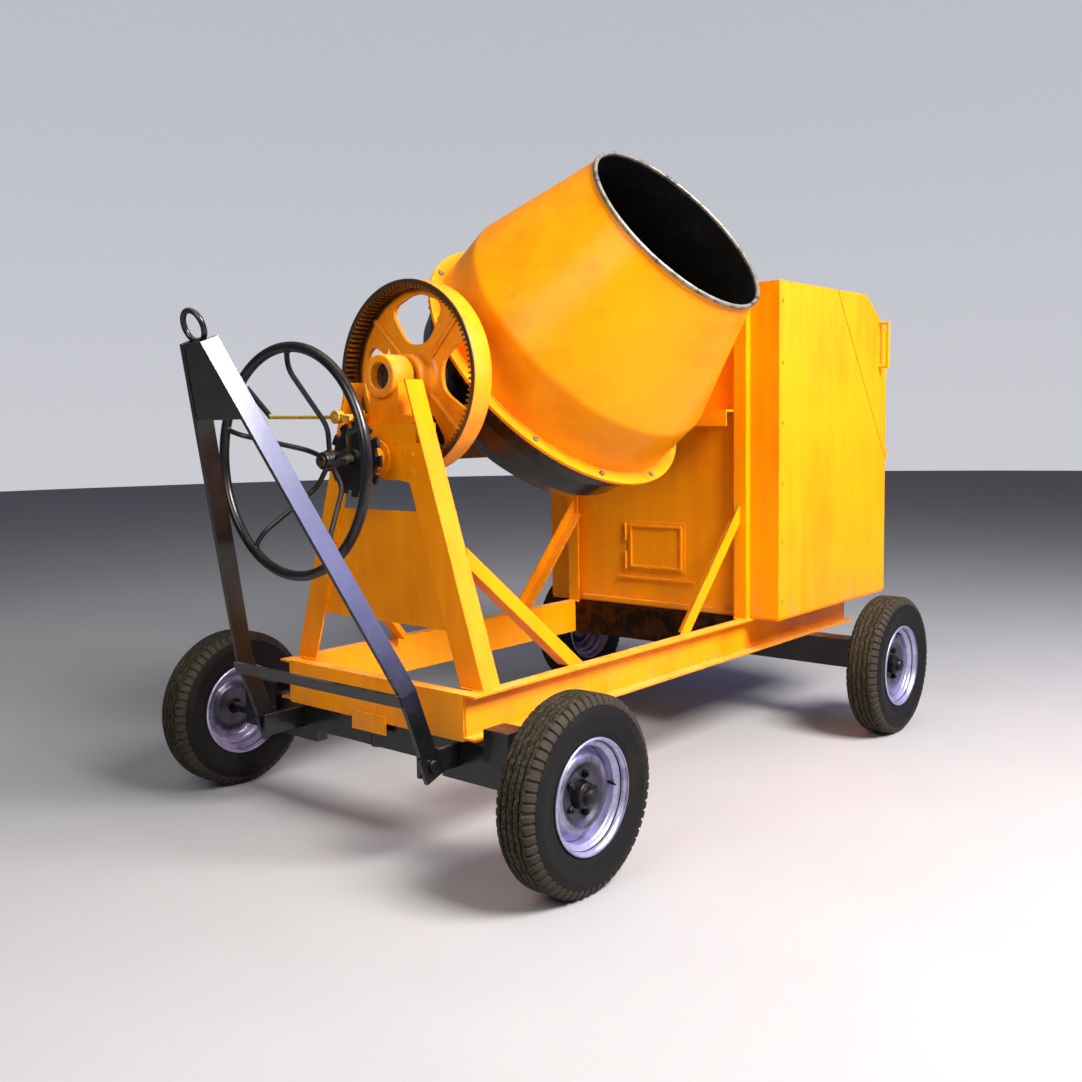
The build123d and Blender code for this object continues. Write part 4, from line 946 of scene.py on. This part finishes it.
web = plate_mesh("gear_web", [circle(gear_root + 0.003, gear_teeth * 2), circle(0.050, 64)]
                 + [[(x, y) for x, y, _ in outline] for outline in windows], web_thick, 0.003)
web_piece = place_mesh("gear_web", web, gear_paint, "yoke",
                       on_tilt_axis(gear_high.x - web_thick / 2), 40)
hub_outline = [(0.0472, 0.006), (0.074, 0.006), (0.080, 0.012), (0.082, 0.020), (0.083, 0.052),
               (0.092, 0.066), (0.104, 0.072), (0.104, 0.078), (0.0472, 0.078)]
place_mesh("gear_hub", lathe("gear_hub", rounded(hub_outline, 0.003, 3), 96), gear_paint, "yoke",
           on_tilt_axis(gear_low.x), 40)
ribs = bmesh.new()
for i in range(4):
    angle = radians(90 * i + 83)
    spoke = Vector((cos(angle), sin(angle), 0))
    add_tube(ribs, [spoke * r + Vector((0, 0, gear_deep - web_thick))
                    for r in (0.085, 0.16, 0.24, gear_root - 0.004)], 0.013, 16, 0.8)
place_mesh("gear_ribs", to_mesh("gear_ribs", ribs), gear_paint, "yoke",
           on_tilt_axis(gear_low.x))
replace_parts(web_piece, "tilting_gear")


def bearing(name, middle, half, radius, bore, base, half_foot):
    """A cast plummer block: barrel with a chamfered bore, waisted neck, foot and grease nipple."""
    outline = [(bore, -half), (radius - 0.004, -half), (radius, -half + 0.004), (radius, half - 0.004),
               (radius - 0.004, half), (bore, half)]
    at = Matrix.Translation((middle, tilt_pivot.y, tilt_pivot.z)) @ along_x
    barrel = place_mesh(f"{name}_barrel", lathe(name, rounded(outline, 0.003, 3), 96), paint,
                        "chassis", at, 40)
    bm = bmesh.new()
    drop = tilt_pivot.z - base
    side = [(-half_foot, 0.0), (half_foot, 0.0), (half_foot, 0.024), (radius * 1.12, 0.030),
            (radius * 0.98, 0.050), (radius * 0.96, drop), (-radius * 0.96, drop),
            (-radius * 0.98, 0.050), (-radius * 1.12, 0.030), (-half_foot, 0.024)]
    side = rounded([Vector((y, z, 0)) for y, z in side], 0.010, 4)
    tops = []
    for x in (-0.029, 0.029):
        tops.append([bm.verts.new((middle + x, tilt_pivot.y + y, base + z)) for y, z, _ in side])
    loop_faces(bm, tops, closed=False)
    bm.faces.new(tops[0])
    bm.faces.new(tops[1])
    neck = place_mesh(f"{name}_neck", to_mesh(f"{name}_neck", bm), paint, "chassis",
                      None, 30)
    cutter_bm = bmesh.new()
    bmesh.ops.create_cone(cutter_bm, cap_ends=True, segments=96, radius1=radius - 0.002,
                          radius2=radius - 0.002, depth=0.2)
    cutter = bpy.data.objects.new("cutter", to_mesh("cutter", cutter_bm))
    bpy.context.scene.collection.objects.link(cutter)
    cutter.matrix_world = at
    cut = neck.modifiers.new("bore", "BOOLEAN")
    cut.operation = "DIFFERENCE"
    cut.object = cutter
    bpy.context.view_layer.update()
    mesh = bpy.data.meshes.new_from_object(neck.evaluated_get(bpy.context.evaluated_depsgraph_get()))
    neck.modifiers.clear()
    neck.data = mesh
    bpy.data.objects.remove(cutter)
    nipple = bmesh.new()
    top = Vector((middle, tilt_pivot.y, tilt_pivot.z + radius))
    add_tube(nipple, [top + Vector((0, 0, z)) for z in (-0.002, 0.006, 0.0065, 0.010, 0.013, 0.016)],
             lambda i: (0.0055, 0.0055, 0.003, 0.003, 0.0042, 0.002)[i], 12)
    place_mesh(f"{name}_nipple", to_mesh(f"{name}_nipple", nipple), bare, "chassis")
    return barrel


_, bearing_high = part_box("trunnion_bearings")
front_bearing_x = rail_low.x + 0.138
front_bearing = bearing("front_bearing", front_bearing_x, half=0.050, radius=0.076, bore=0.0472,
                        base=tilt_pivot.z - 0.165, half_foot=0.150)
bearing("rear_bearing", bearing_high.x - 0.037, half=0.037, radius=0.088, bore=0.0602,
        base=tilt_pivot.z - 0.130, half_foot=0.165)
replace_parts(front_bearing, "trunnion_bearings")


# ---- camera, light and floor ----
def camera_matrix(place, yaw, pitch, roll):
    """A camera's frame: yaw from +X about the vertical, pitch downwards, then roll about its view."""
    forward = Vector((cos(yaw) * cos(pitch), sin(yaw) * cos(pitch), -sin(pitch)))
    right = Vector((sin(yaw), -cos(yaw), 0))
    up = right.cross(forward)
    across = right * cos(roll) + up * sin(roll)
    above = up * cos(roll) - right * sin(roll)
    turn = Matrix((across, above, -forward)).transposed().to_4x4()
    return Matrix.Translation(place) @ turn


lens = bpy.data.cameras.new("camera")
lens.lens = 37.30
lens.shift_x = 0.0329
lens.shift_y = -0.0052
camera = bpy.data.objects.new("camera", lens)
camera.matrix_world = camera_matrix((-3.673, -2.940, 1.422), yaw=radians(41.80), pitch=radians(5.55),
                                    roll=radians(-1.17))
bpy.context.scene.collection.objects.link(camera)
bpy.context.scene.camera = camera


def softbox(name, place, target, width, height, power, tint):
    """A rectangular lamp aimed at a target."""
    light = bpy.data.lights.new(name, "AREA")
    light.shape = "RECTANGLE"
    light.size, light.size_y = width, height
    light.energy = power
    light.color = tint
    lamp = bpy.data.objects.new(name, light)
    lamp.location = place
    lamp.rotation_mode = "QUATERNION"
    lamp.rotation_quaternion = (Vector(target) - Vector(place)).to_track_quat("-Z", "Y")
    bpy.context.scene.collection.objects.link(lamp)


softbox("key", (-0.3, -5.1, 5.4), (0.0, 0, 1.2), 3.0, 2.6, 1130, (1.0, 0.96, 0.90))
softbox("fill", (-4.0, -1.0, 2.9), (-1.1, 0.0, 1.3), 1.8, 1.8, 62, (1.0, 0.95, 0.88))
softbox("top", (-0.2, -0.3, 6.2), (0, 0, 1.0), 5.0, 4.0, 60, (1.0, 0.98, 0.95))
softbox("sky", (4.6, -5.4, 3.4), (-1.2, -0.3, 1.1), 3.4, 3.4, 120, (0.36, 0.38, 1.0))

world = bpy.data.worlds.new("studio")
world.use_nodes = True
world.node_tree.nodes["Background"].inputs["Color"].default_value = (0.80, 0.84, 1.0, 1.0)
world.node_tree.nodes["Background"].inputs["Strength"].default_value = 0.15
bpy.context.scene.world = world
bpy.context.scene.view_settings.view_transform = "Standard"

floor_bm = bmesh.new()
bmesh.ops.create_grid(floor_bm, x_segments=1, y_segments=1, size=30.0)
floor_mesh = to_mesh("floor", floor_bm)
floor = bpy.data.objects.new("floor", floor_mesh)
bpy.context.scene.collection.objects.link(floor)
floor_finish = Finish("pale_floor")
floor_tone = floor_finish.colour(floor_finish.noise(1.4, 5.0, 0.6), (0.36, 0.36, 0.375),
                                 (0.41, 0.41, 0.425))
floor_mesh.materials.append(floor_finish.finish(floor_tone, 0.75))

sky_bm = bmesh.new()
bmesh.ops.create_uvsphere(sky_bm, u_segments=48, v_segments=24, radius=28.0)
backdrop = bpy.data.objects.new("backdrop", to_mesh("backdrop", sky_bm))
bpy.context.scene.collection.objects.link(backdrop)
paper = Finish("backdrop_paper", Emission_Strength=1.0, Specular_IOR_Level=0.0)
height = paper.above(paper.z, -2.0, 14.0)
paper.feed("Emission Color", paper.colour(height, (0.60, 0.61, 0.65), (0.50, 0.51, 0.57)))
backdrop.data.materials.append(paper.finish((0.0, 0.0, 0.0), 1.0))
for ray in ("diffuse", "glossy", "transmission", "shadow"):
    setattr(backdrop, f"visible_{ray}", False)
